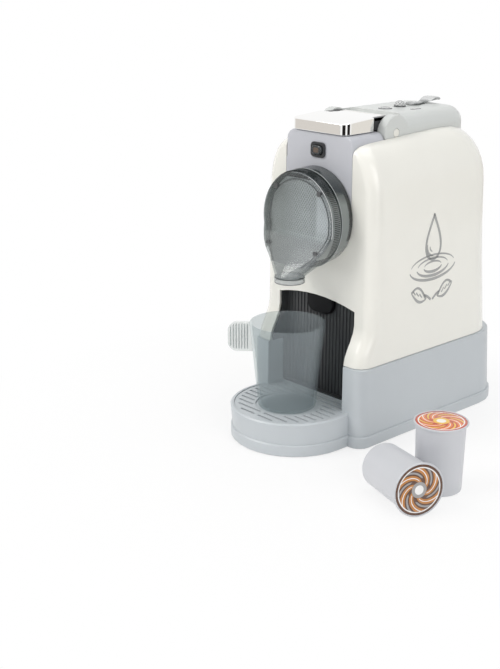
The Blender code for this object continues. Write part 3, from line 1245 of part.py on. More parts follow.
def tact_switch(name, x, y, z, direction):
    """A square switch body with a round cap that faces the key it serves."""
    matrix = Matrix.Translation((x, y, z)) @ Vector(direction).to_track_quat("Z", "Y").to_matrix().to_4x4()
    body = SWITCH_THICK * 0.5
    made = make_object(name, block(-SWITCH_HALF, SWITCH_HALF, -SWITCH_HALF, SWITCH_HALF, -SWITCH_THICK / 2, 0),
                       "satin_black", matrix)
    cap = rod(SWITCH_CAP_RADIUS, (0, 0, -body / 2), (0, 0, SWITCH_THICK / 2 - body), 12)
    return join(made, make_object(name + "_cap", cap, matrix=matrix))


def electronics():
    top = board_top()
    board = make_object("circuit_board", block(-BOARD_HALF, BOARD_HALF, BOARD_FRONT, BOARD_REAR, top - BOARD_THICK, top),
                        "board_green")
    corner = DECK_REAR_CORNER
    for side in (-1, 1):
        x = side * (BOARD_HALF + GAP)
        chip = slab([(x, BOARD_REAR + GAP), (x - side * corner / 3, BOARD_REAR + GAP), (x, BOARD_REAR - corner / 3)],
                    top - OVERRUN, top + OVERRUN)
        cut(board, make_object("board_corner", chip))
    for number, (x, y) in enumerate(post_places(), 1):
        cut(board, make_object(f"board_hole_{number}", rod(SMALL_SHANK + GAP, (x, y, top - OVERRUN), (x, y, top + OVERRUN))))
        screw(f"board_screw_{number}", SMALL_SHANK, SMALL_HEAD, SMALL_HEAD_THICK, SMALL_THREAD / 2,
              (x, y, top - BOARD_THICK - GAP - SMALL_HEAD_THICK), (0, 0, 1))
    centre = top + GAP + SWITCH_THICK / 2
    tact_switch("ring_switch", 0, RING_Y, centre, (0, 0, 1))
    led = [(0, top + GAP), (LED_RADIUS, top + GAP), (LED_RADIUS, top + LED_HEIGHT - LED_RADIUS)]
    led += [(LED_RADIUS * u, top + LED_HEIGHT - LED_RADIUS + LED_RADIUS * v) for u, v in arc(0, 0, 1, 0, 90, 3)[1:-1]]
    led.append((0, top + LED_HEIGHT))
    make_object("lamp_led", turned(led, SMALL_TURN_STEPS), "clear", Matrix.Translation((0, DOME_Y, 0)))


# Front button

def bezel_outline(half_x, half_z):
    return box_outline(half_x, FRONT_BUTTON_Z - half_z, FRONT_BUTTON_Z + half_z, BUTTON_CORNER)


def flange_front():
    return STRIP_WALL + BEZEL_DEPTH - STRIP_WALL + GAP


def switch_front():
    return flange_front() + BUTTON_FLANGE_THICK + FRONT_BUTTON_TRAVEL + GAP


def switch_rear():
    return switch_front() + SWITCH_THICK


def front_button():
    half_x, half_z = FRONT_BUTTON_WIDTH / 2, FRONT_BUTTON_HEIGHT / 2
    sleeve_x, sleeve_z = half_x + GAP + BEZEL_SLEEVE, half_z + GAP + BEZEL_SLEEVE
    bezel = make_object("front_bezel", wall(bezel_outline(sleeve_x, sleeve_z), -BEZEL_PROUD, BEZEL_DEPTH), "satin_black")
    lip = wall(bezel_outline(sleeve_x + BEZEL_LIP, sleeve_z + BEZEL_LIP), -BEZEL_PROUD, -GAP)
    join(bezel, make_object("bezel_lip", lip))
    cut(bezel, make_object("bezel_bore", wall(bezel_outline(half_x + GAP, half_z + GAP), -OVERRUN, BEZEL_DEPTH + OVERRUN)))
    rings = []
    for y, inset in ((-FRONT_BUTTON_PROUD, 2 * GAP), (-FRONT_BUTTON_PROUD + 2 * GAP, 0), (flange_front() + GAP, 0)):
        rings.append([(x, y, z) for x, z in bezel_outline(half_x - inset, half_z - inset)])
    button = make_object("front_button", loft(rings), "smoke_clear")
    flange = wall(bezel_outline(half_x + BUTTON_FLANGE, half_z + BUTTON_FLANGE), flange_front(),
                  flange_front() + BUTTON_FLANGE_THICK)
    join(button, make_object("button_flange", flange))
    tact_switch("front_switch", 0, (switch_front() + switch_rear()) / 2, FRONT_BUTTON_Z, (0, -1, 0))


def well_screws():
    low = well_tab_top() - WELL_TAB_THICK - GAP - SMALL_HEAD_THICK
    reach = STRIP_TOP - STRIP_WALL / 2 - 2 * GAP - low - SMALL_HEAD_THICK / 2
    for name, (x, y) in zip(("well_screw_left", "well_screw_right"), well_screw_places()):
        screw(name, SMALL_SHANK, SMALL_HEAD, SMALL_HEAD_THICK, reach, (x, y, low), (0, 0, 1))


# Pods

def pod(name, print_finish, matrix):
    lid_floor = POD_HEIGHT - POD_LID_DEPTH - POD_LID_THICK - GAP
    lid_radius = POD_RIM_RADIUS - POD_LID_BORDER
    slope = (POD_NECK_RADIUS - POD_FOOT_RADIUS) / POD_HEIGHT
    profile = [(0, 0), (POD_FOOT_RADIUS - POD_WALL, 0), (POD_FOOT_RADIUS, POD_WALL),
               (POD_NECK_RADIUS, POD_HEIGHT - POD_RIM_THICK), (POD_RIM_RADIUS, POD_HEIGHT - POD_RIM_THICK + GAP),
               (POD_RIM_RADIUS, POD_HEIGHT - GAP), (POD_RIM_RADIUS - GAP, POD_HEIGHT), (lid_radius + GAP, POD_HEIGHT),
               (lid_radius + GAP, lid_floor), (POD_NECK_RADIUS - POD_WALL, lid_floor),
               (POD_FOOT_RADIUS + slope * POD_WALL - POD_WALL, POD_WALL), (0, POD_WALL)]
    make_object(name + "_cup", turned(profile, 24), "pod_grey", matrix)
    low = lid_floor + GAP
    disc = [(0, low), (lid_radius, low), (lid_radius, low + POD_LID_THICK), (0, low + POD_LID_THICK)]
    make_object(name + "_lid", turned(disc, 24), print_finish, matrix)


def pods():
    standing = Matrix.Translation((STANDING_X, STANDING_Y, 0)) @ Matrix.Rotation(math.radians(STANDING_TURN_DEG), 4, "Z")
    pod("pod_standing", "pod_print_red", standing)
    tilt = math.atan2(POD_RIM_RADIUS - POD_FOOT_RADIUS, POD_HEIGHT - POD_WALL)
    yaw = math.radians(LYING_YAW_DEG)
    lying = (Matrix.Translation((LYING_X, LYING_Y, POD_RIM_RADIUS * math.cos(tilt)))
             @ Matrix.Rotation(yaw, 4, "Z") @ Matrix.Rotation(math.pi / 2 - tilt, 4, "Y")
             @ Matrix.Translation((0, 0, -POD_HEIGHT)))
    pod("pod_lying", "pod_print_brown", lying)


def build():
    clear_scene()
    base_shell()
    bottom_plate()
    base_screws()
    battery_parts()
    speaker()
    drip_grille()
    cup()
    body_shell()
    front_panel()
    back_panel()
    splash_tongue()
    drum_back()
    drum_front()
    drum_screen()
    drum_screws()
    spout_ring()
    pod_well()
    well_screws()
    lid()
    hinge_pins()
    rear_deck()
    deck_controls()
    rocker()
    electronics()
    front_button()
    pods()


build()
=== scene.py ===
"""Looks of the toy coffee maker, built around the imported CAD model."""
import math

import bpy
import bmesh
from mathutils import Matrix, Vector


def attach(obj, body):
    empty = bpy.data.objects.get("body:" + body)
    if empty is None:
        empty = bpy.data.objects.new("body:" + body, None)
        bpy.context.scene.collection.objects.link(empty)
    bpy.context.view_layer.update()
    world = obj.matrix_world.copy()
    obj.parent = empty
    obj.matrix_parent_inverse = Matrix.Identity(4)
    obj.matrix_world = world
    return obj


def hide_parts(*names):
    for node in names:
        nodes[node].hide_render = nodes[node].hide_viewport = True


MM = 0.001

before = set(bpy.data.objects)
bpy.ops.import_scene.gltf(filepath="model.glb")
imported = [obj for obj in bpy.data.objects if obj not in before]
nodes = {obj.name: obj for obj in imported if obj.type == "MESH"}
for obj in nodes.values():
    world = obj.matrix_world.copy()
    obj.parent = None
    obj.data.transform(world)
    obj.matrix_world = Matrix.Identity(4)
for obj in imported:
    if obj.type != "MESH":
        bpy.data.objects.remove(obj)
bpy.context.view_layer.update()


# Geometry helpers

def arc(centre_u, centre_v, radius, start_deg, end_deg, steps):
    points = []
    for step in range(steps + 1):
        angle = math.radians(start_deg + (end_deg - start_deg) * step / steps)
        points.append((centre_u + radius * math.cos(angle), centre_v + radius * math.sin(angle)))
    return points


def plan(half, front, rear, front_round, rear_round, front_steps=8, rear_steps=8):
    return (
        arc(half - front_round, front + front_round, front_round, -90, 0, front_steps)
        + arc(half - rear_round, rear - rear_round, rear_round, 0, 90, rear_steps)
        + arc(rear_round - half, rear - rear_round, rear_round, 90, 180, rear_steps)
        + arc(front_round - half, front + front_round, front_round, 180, 270, front_steps)
    )


def skin(bm, rings, closed=True, caps=True):
    loops = [[bm.verts.new(point) for point in ring] for ring in rings]
    count = len(loops[0])
    for lower, upper in zip(loops, loops[1:]):
        for index in range(count if closed else count - 1):
            after = (index + 1) % count
            bm.faces.new((lower[index], lower[after], upper[after], upper[index]))
    if caps:
        bm.faces.new(list(reversed(loops[0])))
        bm.faces.new(loops[-1])
    return loops


def loft(rings):
    bm = bmesh.new()
    skin(bm, rings)
    return bm


def turned(profile, steps=96, matrix=None):
    """A closed profile of (radius, height) turned about z."""
    bm = bmesh.new()
    columns = []
    for step in range(steps):
        angle = math.tau * step / steps
        column = [bm.verts.new((r * math.cos(angle), r * math.sin(angle), h)) for r, h in profile]
        columns.append(column)
    count = len(profile)
    for step in range(steps):
        here, after = columns[step], columns[(step + 1) % steps]
        for index in range(count):
            following = (index + 1) % count
            if profile[index][0] == 0 and profile[following][0] == 0:
                continue
            bm.faces.new((here[index], after[index], after[following], here[following]))
    bmesh.ops.remove_doubles(bm, verts=bm.verts, dist=1e-7)
    bmesh.ops.dissolve_degenerate(bm, edges=bm.edges, dist=1e-8)
    if matrix is not None:
        bm.transform(matrix)
    return bm


def tube(points, radius, closed=False, sides=8):
    """A round bead along points."""
    bm = bmesh.new()
    points = [Vector(p) for p in points]
    rings = []
    count = len(points)
    side = None
    for index, here in enumerate(points):
        before = points[index - 1] if closed or index else here
        after = points[(index + 1) % count] if closed or index < count - 1 else here
        run = (after - before).normalized()
        if side is None:
            side = run.orthogonal().normalized()
        side = (side - run * side.dot(run)).normalized()
        other = run.cross(side)
        rings.append([here + radius * (math.cos(a) * side + math.sin(a) * other)
                      for a in (math.tau * k / sides for k in range(sides))])
    if closed:
        rings.append(rings[0])
    loops = [[bm.verts.new(p) for p in ring] for ring in (rings[:-1] if closed else rings)]
    if closed:
        loops.append(loops[0])
    for lower, upper in zip(loops, loops[1:]):
        for index in range(sides):
            after = (index + 1) % sides
            bm.faces.new((lower[index], lower[after], upper[after], upper[index]))
    if not closed:
        bm.faces.new(list(reversed(loops[0])))
        bm.faces.new(loops[-1])
    return bm


def join_bms(*parts):
    whole = bmesh.new()
    for part in parts:
        mesh = bpy.data.meshes.new("part")
        part.to_mesh(mesh)
        part.free()
        whole.from_mesh(mesh)
        bpy.data.meshes.remove(mesh)
    return whole


def piece(name, bm, material, body, replaces=(), angle=35.0, extra=()):
    bmesh.ops.recalc_face_normals(bm, faces=bm.faces)
    mesh = bpy.data.meshes.new(name)
    bm.to_mesh(mesh)
    bm.free()
    made = bpy.data.objects.new(name, mesh)
    bpy.context.scene.collection.objects.link(made)
    mesh.materials.append(material)
    for more in extra:
        mesh.materials.append(more)
    mesh.shade_smooth()
    mesh.set_sharp_from_angle(angle=math.radians(angle))
    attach(made, body)
    if replaces:
        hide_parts(*replaces)
    return made


# Shader helpers

class Shade:
    """A small builder of node materials; values may be numbers, tuples or sockets."""

    def __init__(self, name):
        self.material = bpy.data.materials.new(name)
        self.material.use_nodes = True
        self.tree = self.material.node_tree
        self.tree.nodes.clear()
        self.place = self.add("ShaderNodeTexCoord").outputs["Object"]

    def add(self, kind, values=None, **settings):
        made = self.tree.nodes.new(kind)
        for key, value in settings.items():
            setattr(made, key, value)
        for key, value in (values or {}).items():
            self.feed(made.inputs[key], value)
        return made

    def feed(self, socket, value):
        if isinstance(value, bpy.types.NodeSocket):
            self.tree.links.new(value, socket)
        elif socket.type == "RGBA" and len(value) == 3:
            socket.default_value = (*value, 1.0)
        else:
            socket.default_value = value

    def math(self, operation, a, b=0.0, c=0.0):
        made = self.add("ShaderNodeMath", operation=operation)
        for index, value in enumerate((a, b, c)):
            self.feed(made.inputs[index], value)
        return made.outputs[0]

    def noise(self, scale, detail=2.0, rough=0.5, where=None):
        return self.add("ShaderNodeTexNoise", {"Vector": where or self.place, "Scale": scale, "Detail": detail,
                                               "Roughness": rough}).outputs["Fac"]

    def ramp(self, factor, *stops, interpolation="LINEAR"):
        made = self.add("ShaderNodeValToRGB", {"Fac": factor})
        made.color_ramp.interpolation = interpolation
        elements = made.color_ramp.elements
        while len(elements) < len(stops):
            elements.new(1.0)
        for element, (position, colour) in zip(elements, stops):
            element.position = position
            element.color = (*colour, 1.0) if len(colour) == 3 else colour
        return made.outputs["Color"]

    def span(self, value, low, high, to_low=0.0, to_high=1.0):
        return self.add("ShaderNodeMapRange", {"Value": value, "From Min": low, "From Max": high,
                                               "To Min": to_low, "To Max": to_high}).outputs["Result"]

    def mix(self, factor, a, b):
        made = self.add("ShaderNodeMix", data_type="RGBA")
        self.feed(made.inputs[0], factor)
        self.feed(made.inputs[6], a)
        self.feed(made.inputs[7], b)
        return made.outputs[2]

    def axes(self, where=None):
        made = self.add("ShaderNodeSeparateXYZ", {"Vector": where or self.place})
        return made.outputs

    def bump(self, height, strength=0.2, distance=0.0002):
        return self.add("ShaderNodeBump", {"Height": height, "Strength": strength,
                                           "Distance": distance}).outputs["Normal"]

    def surface(self, colour, rough, normal=None, **more):
        values = {"Base Color": colour, "Roughness": rough}
        if normal is not None:
            values["Normal"] = normal
        values.update(more)
        return self.add("ShaderNodeBsdfPrincipled", values).outputs["BSDF"]

    def done(self, shader):
        out = self.add("ShaderNodeOutputMaterial")
        self.tree.links.new(shader, out.inputs["Surface"])
        return self.material


def moulded(name, colour, rough=0.3, vary=0.03, coat=0.0, shine=0.5):
    """Injection-moulded plastic: faint cloudiness, slight orange peel and uneven gloss."""
    s = Shade(name)
    cloud = s.noise(22.0, 3.0)
    dark = tuple(c * (1.0 - vary) for c in colour)
    light = tuple(min(1.0, c * (1.0 + vary * 0.5)) for c in colour)
    tone = s.mix(s.span(cloud, 0.3, 0.7), dark, light)
    gloss = s.span(s.noise(60.0, 2.0), 0.3, 0.7, rough - 0.04, rough + 0.05)
    peel = s.bump(s.noise(1500.0, 1.0), 0.08, 0.00006)
    return s.done(s.surface(tone, gloss, peel, **{"Coat Weight": coat, "Coat Roughness": 0.08, "Specular IOR Level": shine}))


def tinted(name, veil, tint, cover, rough=0.08, grain=0.05):
    """Clear tinted plastic: part of the light goes straight through, tinted, and the rest sees a glossy skin."""
    s = Shade(name)
    cloud = s.span(s.noise(35.0, 2.0), 0.3, 0.7)
    tone = s.mix(cloud, tuple(c * 0.94 for c in veil), veil)
    normal = s.bump(s.noise(700.0, 1.0), grain, 0.00005) if grain else None
    skin_shader = s.surface(tone, s.span(cloud, 0.0, 1.0, rough, rough + 0.04), normal, **{"Coat Weight": 0.6, "Coat Roughness": 0.04})
    through = s.add("ShaderNodeBsdfTransparent", {"Color": tint}).outputs[0]
    mixed = s.add("ShaderNodeMixShader", {0: cover, 1: through, 2: skin_shader}).outputs[0]
    return s.done(mixed)


def polished(name, colour, rough=0.06):
    s = Shade(name)
    haze = s.span(s.noise(45.0, 2.0), 0.3, 0.7, rough - 0.01, rough + 0.02)
    wave = s.bump(s.noise(60.0, 1.0), 0.008, 0.0002)
    return s.done(s.surface(colour, haze, wave, Metallic=1.0))


BODY = (0.87, 0.86, 0.80)
BASE = (0.55, 0.585, 0.61)
STRIP = (0.55, 0.56, 0.60)
DECK = (0.64, 0.66, 0.645)

white = moulded("warm_white_gloss", BODY, 0.22, 0.015, coat=0.3)
base_grey = moulded("base_grey_satin", BASE, 0.33, 0.02)
strip_grey = moulded("strip_grey_satin", STRIP, 0.33, 0.02)
deck_grey = moulded("deck_grey_satin", DECK, 0.33, 0.02)
black_gloss = moulded("black_gloss", (0.007, 0.007, 0.008), 0.33, 0.05, shine=0.12)
black_satin = moulded("black_satin", (0.022, 0.023, 0.026), 0.34, 0.08)
liner_black = moulded("liner_black", (0.048, 0.05, 0.052), 0.33, 0.08)
chrome = polished("chrome", (0.93, 0.925, 0.91), 0.03)
steel = polished("bright_steel", (0.72, 0.72, 0.71), 0.2)
dark_steel = polished("dark_screw_steel", (0.16, 0.165, 0.17), 0.3)
nickel = polished("nickel_plate", (0.7, 0.68, 0.62), 0.25)
board = moulded("board_green", (0.03, 0.16, 0.07), 0.45, 0.1)
jacket = moulded("cell_jacket", (0.08, 0.085, 0.1), 0.33, 0.1)
pod_shell = moulded("pod_grey_satin", (0.62, 0.63, 0.66), 0.36, 0.02)
clear = tinted("clear_plastic", (0.52, 0.54, 0.55), (0.9, 0.92, 0.92), 0.45)
smoke_dark = tinted("smoke_dark", (0.07, 0.08, 0.085), (0.45, 0.48, 0.5), 0.6)
lens_grey = moulded("lens_grey", (0.33, 0.33, 0.33), 0.2, 0.04, coat=0.5)
cup_smoke = tinted("cup_smoke", (0.46, 0.50, 0.53), (0.90, 0.925, 0.925), 0.17, 0.05, 0.0)
cup_tab = tinted("cup_tab_smoke", (0.74, 0.765, 0.755), (0.96, 0.97, 0.965), 0.30, 0.06, 0.0)


# CAD nodes: welded, creased edges rounded and shaded smooth by a node group

def smooth_group():
    group = bpy.data.node_groups.new("weld_and_smooth", "GeometryNodeTree")
    group.is_modifier = True
    group.interface.new_socket("Geometry", in_out="INPUT", socket_type="NodeSocketGeometry")
    angle = group.interface.new_socket("Crease angle", in_out="INPUT", socket_type="NodeSocketFloat")
    angle.default_value = math.radians(35.0)
    group.interface.new_socket("Geometry", in_out="OUTPUT", socket_type="NodeSocketGeometry")
    new, link = group.nodes.new, group.links.new
    start, end = new("NodeGroupInput"), new("NodeGroupOutput")
    clean = new("GeometryNodeRemoveAttribute")
    clean.inputs["Name"].default_value = "custom_normal"
    weld = new("GeometryNodeMergeByDistance")
    weld.inputs["Distance"].default_value = 0.00003
    faces = new("GeometryNodeSetShadeSmooth")
    edges = new("GeometryNodeSetShadeSmooth")
    edges.domain = "EDGE"
    edges.inputs["Shade Smooth"].default_value = False
    bend = new("GeometryNodeInputMeshEdgeAngle")
    test = new("FunctionNodeCompare")
    test.operation = "GREATER_THAN"
    link(start.outputs["Geometry"], clean.inputs[0])
    link(clean.outputs[0], weld.inputs["Geometry"])
    link(weld.outputs[0], faces.inputs[0])
    link(faces.outputs[0], edges.inputs[0])
    link(bend.outputs["Unsigned Angle"], test.inputs[0])
    link(start.outputs["Crease angle"], test.inputs[1])
    link(test.outputs[0], edges.inputs["Selection"])
    link(edges.outputs[0], end.inputs[0])
    return group


SMOOTH = smooth_group()


def refine(node, bevel=0.0, segments=2):
    """Smooths a CAD node by modifiers; its own mesh stays as it is."""
    weld = node.modifiers.new("weld", "NODES")
    weld.node_group = SMOOTH
    if bevel:
        flat = node.modifiers.new("flats", "DECIMATE")
        flat.decimate_type = "DISSOLVE"
        flat.angle_limit = math.radians(0.6)
        edge = node.modifiers.new("edges", "BEVEL")
        edge.width = bevel
        edge.segments = segments
        edge.limit_method = "ANGLE"
        edge.angle_limit = math.radians(48.0)
        edge.use_clamp_overlap = True
        again = node.modifiers.new("smooth", "NODES")
        again.node_group = SMOOTH
    even = node.modifiers.new("even", "WEIGHTED_NORMAL")
    even.mode = "FACE_AREA"
    even.keep_sharp = True


class Grow:
    """A small builder of geometry node groups that end in realised, painted instances."""

    def __init__(self, name, **sockets):
        self.group = bpy.data.node_groups.new(name, "GeometryNodeTree")
        self.group.is_modifier = True
        self.group.interface.new_socket("Geometry", in_out="INPUT", socket_type="NodeSocketGeometry")
        self.names = {}
        for label, kind in sockets.items():
            made = self.group.interface.new_socket(label, in_out="INPUT", socket_type="NodeSocket" + kind)
            self.names[label] = made.identifier
        self.group.interface.new_socket("Geometry", in_out="OUTPUT", socket_type="NodeSocketGeometry")
        self.start = self.group.nodes.new("NodeGroupInput").outputs
        self.end = self.group.nodes.new("NodeGroupOutput").inputs[0]

    def add(self, kind, values=None, **settings):
        made = self.group.nodes.new(kind)
        for key, value in settings.items():
            setattr(made, key, value)
        for key, value in (values or {}).items():
            if isinstance(value, bpy.types.NodeSocket):
                self.group.links.new(value, made.inputs[key])
            else:
                made.inputs[key].default_value = value
        return made.outputs

    def math(self, operation, a, b=0.0):
        return self.add("ShaderNodeMath", {0: a, 1: b}, operation=operation)[0]

    def finish(self, instances, material):
        real = self.add("GeometryNodeRealizeInstances", {0: instances})[0]
        painted = self.add("GeometryNodeSetMaterial", {"Geometry": real, "Material": material})[0]
        self.group.links.new(painted, self.end)
        return self


def rib_ring_group():
    """Bars round an arc in the x-z plane, each turned to stand on it."""
    g = Grow("rib_ring", Count="Int", First="Float", Step="Float", Radius="Float", Bar="Vector", Centre="Vector", Material="Material")
    line = g.add("GeometryNodeMeshLine", {"Count": g.start["Count"]})[0]
    index = g.add("GeometryNodeInputIndex")[0]
    angle = g.math("ADD", g.math("MULTIPLY", index, g.start["Step"]), g.start["First"])
    across = g.math("MULTIPLY", g.math("COSINE", angle), g.start["Radius"])
    high = g.math("MULTIPLY", g.math("SINE", angle), g.start["Radius"])
    spot = g.add("ShaderNodeCombineXYZ", {"X": across, "Z": high})[0]
    moved = g.add("ShaderNodeVectorMath", {0: spot, 1: g.start["Centre"]}, operation="ADD")[0]
    placed = g.add("GeometryNodeSetPosition", {"Geometry": line, "Position": moved})[0]
    bar = g.add("GeometryNodeMeshCube", {"Size": g.start["Bar"]})[0]
    turn = g.add("ShaderNodeCombineXYZ", {"Y": g.math("MULTIPLY", angle, -1.0)})[0]
    many = g.add("GeometryNodeInstanceOnPoints", {"Points": placed, "Instance": bar, "Rotation": turn})[0]
    return g.finish(many, g.start["Material"])


def tab_rib_group():
    """Upright round ribs in a row; those under the tab's round corner are shorter."""
    g = Grow("tab_ribs", Count="Int", First="Float", Pitch="Float", Radius="Float", Half="Float", Corner="Float", Reach="Float",
             Margin="Float", Offset="Vector", Material="Material")
    line = g.add("GeometryNodeMeshLine", {"Count": g.start["Count"]})[0]
    index = g.add("GeometryNodeInputIndex")[0]
    along = g.math("ADD", g.math("MULTIPLY", index, g.start["Pitch"]), g.start["First"])
    spot = g.add("ShaderNodeCombineXYZ", {"X": along})[0]
    moved = g.add("ShaderNodeVectorMath", {0: spot, 1: g.start["Offset"]}, operation="ADD")[0]
    placed = g.add("GeometryNodeSetPosition", {"Geometry": line, "Position": moved})[0]
    over = g.math("DIVIDE", g.math("MAXIMUM", g.math("SUBTRACT", along, g.math("SUBTRACT", g.start["Reach"], g.start["Corner"])), 0.0),
                  g.start["Corner"])
    drop = g.math("SUBTRACT", 1.0, g.math("SQRT", g.math("SUBTRACT", 1.0, g.math("MULTIPLY", over, over))))
    trim = g.math("ADD", g.math("MULTIPLY", drop, g.start["Corner"]), g.start["Margin"])
    tall = g.math("DIVIDE", g.math("SUBTRACT", g.start["Half"], trim), g.start["Half"])
    rod = g.add("GeometryNodeMeshCylinder", {"Vertices": 10, "Radius": g.start["Radius"], "Depth": g.math("MULTIPLY", g.start["Half"], 2.0)})[0]
    size = g.add("ShaderNodeCombineXYZ", {"X": 1.0, "Y": 1.0, "Z": tall})[0]
    many = g.add("GeometryNodeInstanceOnPoints", {"Points": placed, "Instance": rod, "Scale": size})[0]
    return g.finish(many, g.start["Material"])


def grown(name, grow, body, slot, matrix=None, angle=50.0, **values):
    """A plain mesh made once by a node group; the modifier goes again."""
    made = bpy.data.objects.new(name, bpy.data.meshes.new(name))
    bpy.context.scene.collection.objects.link(made)
    maker = made.modifiers.new("grow", "NODES")
    maker.node_group = grow.group
    for label, value in values.items():
        maker[grow.names[label]] = value
    bpy.context.view_layer.update()
    whole = made.evaluated_get(bpy.context.evaluated_depsgraph_get())
    mesh = bpy.data.meshes.new_from_object(whole)
    made.modifiers.remove(maker)
    made.data = mesh
    if matrix is not None:
        mesh.transform(matrix)
    mesh.shade_smooth()
    mesh.set_sharp_from_angle(angle=math.radians(angle))
    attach(made, body)
    return made


RIB_RING = rib_ring_group()
TAB_RIBS = tab_rib_group()


LOOKS = {
    "base_shell": (base_grey, 0.0), "bottom_plate": (base_grey, 0.2), "battery_box": (base_grey, 0), "battery_door": (base_grey, 0.3),
    "body_shell": (white, 0.4), "front_panel": (strip_grey, 0.3), "back_panel": (liner_black, 0),
    "splash_tongue": (black_gloss, 0.3), "spout_ring": (clear, 0), "pod_well": (deck_grey, 0),
    "rear_deck": (deck_grey, 0.35), "drip_grille": (base_grey, 0.25), "circuit_board": (board, 0),
    "ring_switch": (black_satin, 0), "front_switch": (black_satin, 0), "front_bezel": (black_satin, 0.25),
    "front_button": (smoke_dark, 0.3), "oval_lens": (lens_grey, 0), "speaker": (jacket, 0), "lamp_led": (clear, 0),
}
for name in nodes:
    if name in LOOKS:
        material, bevel = LOOKS[name]
    elif name.startswith("drum_screw"):
        material, bevel = dark_steel, 0
    elif name.startswith("hinge_pin"):
        material, bevel = white, 0
    elif "screw" in name or "pin" in name:
        material, bevel = steel, 0
    elif name.startswith("battery_"):
        material, bevel = jacket, 0
    elif name.startswith("contact_"):
        material, bevel = nickel, 0
    elif name.startswith("pod_"):
        material, bevel = pod_shell, 0
    else:
        material, bevel = clear, 0
    node = nodes[name]
    for slot in node.material_slots:
        slot.material = material
    if not node.material_slots:
        node.data.materials.append(material)
    refine(node, bevel * MM)


# Lid lever

LID_HALF, LID_FRONT, LID_REAR, LID_LOW, LID_HIGH, LID_RISE = 28.5, -2.0, 31.0, 240.4, 248.4, 2.3
HINGE_Y, HINGE_Z, ARM_R = 49.0, 238.0, 12.3


def lid_top(y):
    share = min(1.0, max(0.0, (y - LID_FRONT) / (LID_REAR - LID_FRONT)))
    return LID_HIGH + LID_RISE * math.sin(share * math.pi / 2)


def lid_visual():
    outline = plan(LID_HALF, LID_FRONT, LID_REAR, 6.0, 1.6, 20, 5)
    middle, reach = (LID_FRONT + LID_REAR) / 2, (LID_REAR - LID_FRONT) / 2
    levels = [("low", 1.6, 0.0), ("low", 0.3, 0.0), ("edge", 0.0, 0.3), ("edge", 0.0, 0.5), ("high", 0.0, 0.9)]
    levels += [("high", 0.6 * (1 - math.cos(math.pi / 2 * k / 5)), 0.6 * (1 - math.sin(math.pi / 2 * k / 5))) for k in range(6)]
    levels += [("high", reach, 0.0) for reach in (0.8, 2.0, 4.0, 6.0, 8.0, 10.0, 12.0, 14.0, 16.0)]
    rings = []
    for level in levels:
        ring = []
        for x, y in outline:
            u, v = x * (1 - level[1] / LID_HALF), middle + (y - middle) * (1 - level[1] / reach)
            if level[0] == "low":
                z = LID_LOW - 0.4
            elif level[0] == "edge":
                z = LID_LOW - 0.4 + level[2]
            else:
                z = lid_top(v) - level[2]
            ring.append((u * MM, v * MM, z * MM))
        rings.append(ring)
    plate = loft(rings)
    arm_out, skin_thick = 26.9, 2.2
    top = LID_HIGH + LID_RISE - 0.8
    neck_profile = [(23.0, top - skin_thick), (HINGE_Y, top - skin_thick), (HINGE_Y, top), (31.5, top), (23.0, top)]
    neck = loft([[(x * MM, y * MM, z * MM) for y, z in neck_profile] for x in (-arm_out, arm_out)])
    bow = arc(HINGE_Y, HINGE_Z, ARM_R, 32, 90, 20) + arc(HINGE_Y, HINGE_Z, ARM_R - 2.4, 90, 32, 20)
    barrel = loft([[(x * MM, y * MM, z * MM) for y, z in bow] for x in (-24.7, 24.7)])
    arms = []
    for side in (-1, 1):
        profile = (arc(HINGE_Y, HINGE_Z, ARM_R, -90, 90, 30) + [(23.0, HINGE_Z + ARM_R - 0.4), (23.0, LID_LOW + 0.8)]
                   + arc(HINGE_Y, HINGE_Z, ARM_R, 168, 270, 16))
        ends = sorted((side * arm_out, side * (arm_out - 4.4)))
        arms.append(loft([[(x * MM, y * MM, z * MM) for y, z in profile] for x in ends]))
    return plate, join_bms(neck, barrel), join_bms(*arms)


plate, neck, arms = lid_visual()
piece("lid_plate", plate, chrome, "lid", replaces=("lid",), angle=50)
piece("lid_neck", neck, chrome, "lid")
# Painted shade: the arms are black, standing for the dark shade in the gap beside the lid's neck.
piece("lid_arms", arms, black_satin, "lid")


# Cup with its ribbed tab

CUP_Y, CUP_LOW, CUP_HIGH, CUP_FOOT, CUP_RIM = -31.0, 26.4, 95.4, 23.0, 30.0


def cup_visual():
    slope = (CUP_RIM - CUP_FOOT) / (CUP_HIGH - CUP_LOW)
    inside = CUP_FOOT + slope * 2.0 - 1.5
    profile = [(0, CUP_LOW), (CUP_FOOT - 1.6, CUP_LOW)]
    profile += [(CUP_FOOT - 1.6 + 1.6 * math.sin(a), CUP_LOW + 1.6 - 1.6 * math.cos(a))
                for a in (math.pi / 2 * k / 5 for k in range(1, 6))]
    profile += [(CUP_RIM - 0.05, CUP_HIGH - 0.8), (CUP_RIM - 0.2, CUP_HIGH - 0.3), (CUP_RIM - 0.75, CUP_HIGH),
                (CUP_RIM - 1.3, CUP_HIGH - 0.3), (CUP_RIM - 1.5, CUP_HIGH - 0.8)]
    profile += [(inside + 1.0 * (1 - math.sin(a)) - 1.0 + slope, CUP_LOW + 3.0 - math.cos(a) * 1.0 + 0.0)
                for a in (math.pi / 2 * (1 - k / 4) for k in range(4))][::1]
    profile += [(0, CUP_LOW + 2.0)]
    clean = [profile[0]]
    for point in profile[1:]:
        if abs(point[0] - clean[-1][0]) + abs(point[1] - clean[-1][1]) > 1e-6:
            clean.append(point)
    where = Matrix.Translation((0, CUP_Y * MM, 0))
    return turned([(r * MM, h * MM) for r, h in clean], 96, where)


TAB_PLACE = Matrix.Translation((0, CUP_Y * MM, 0)) @ Matrix.Rotation(math.radians(225.0), 4, "Z")


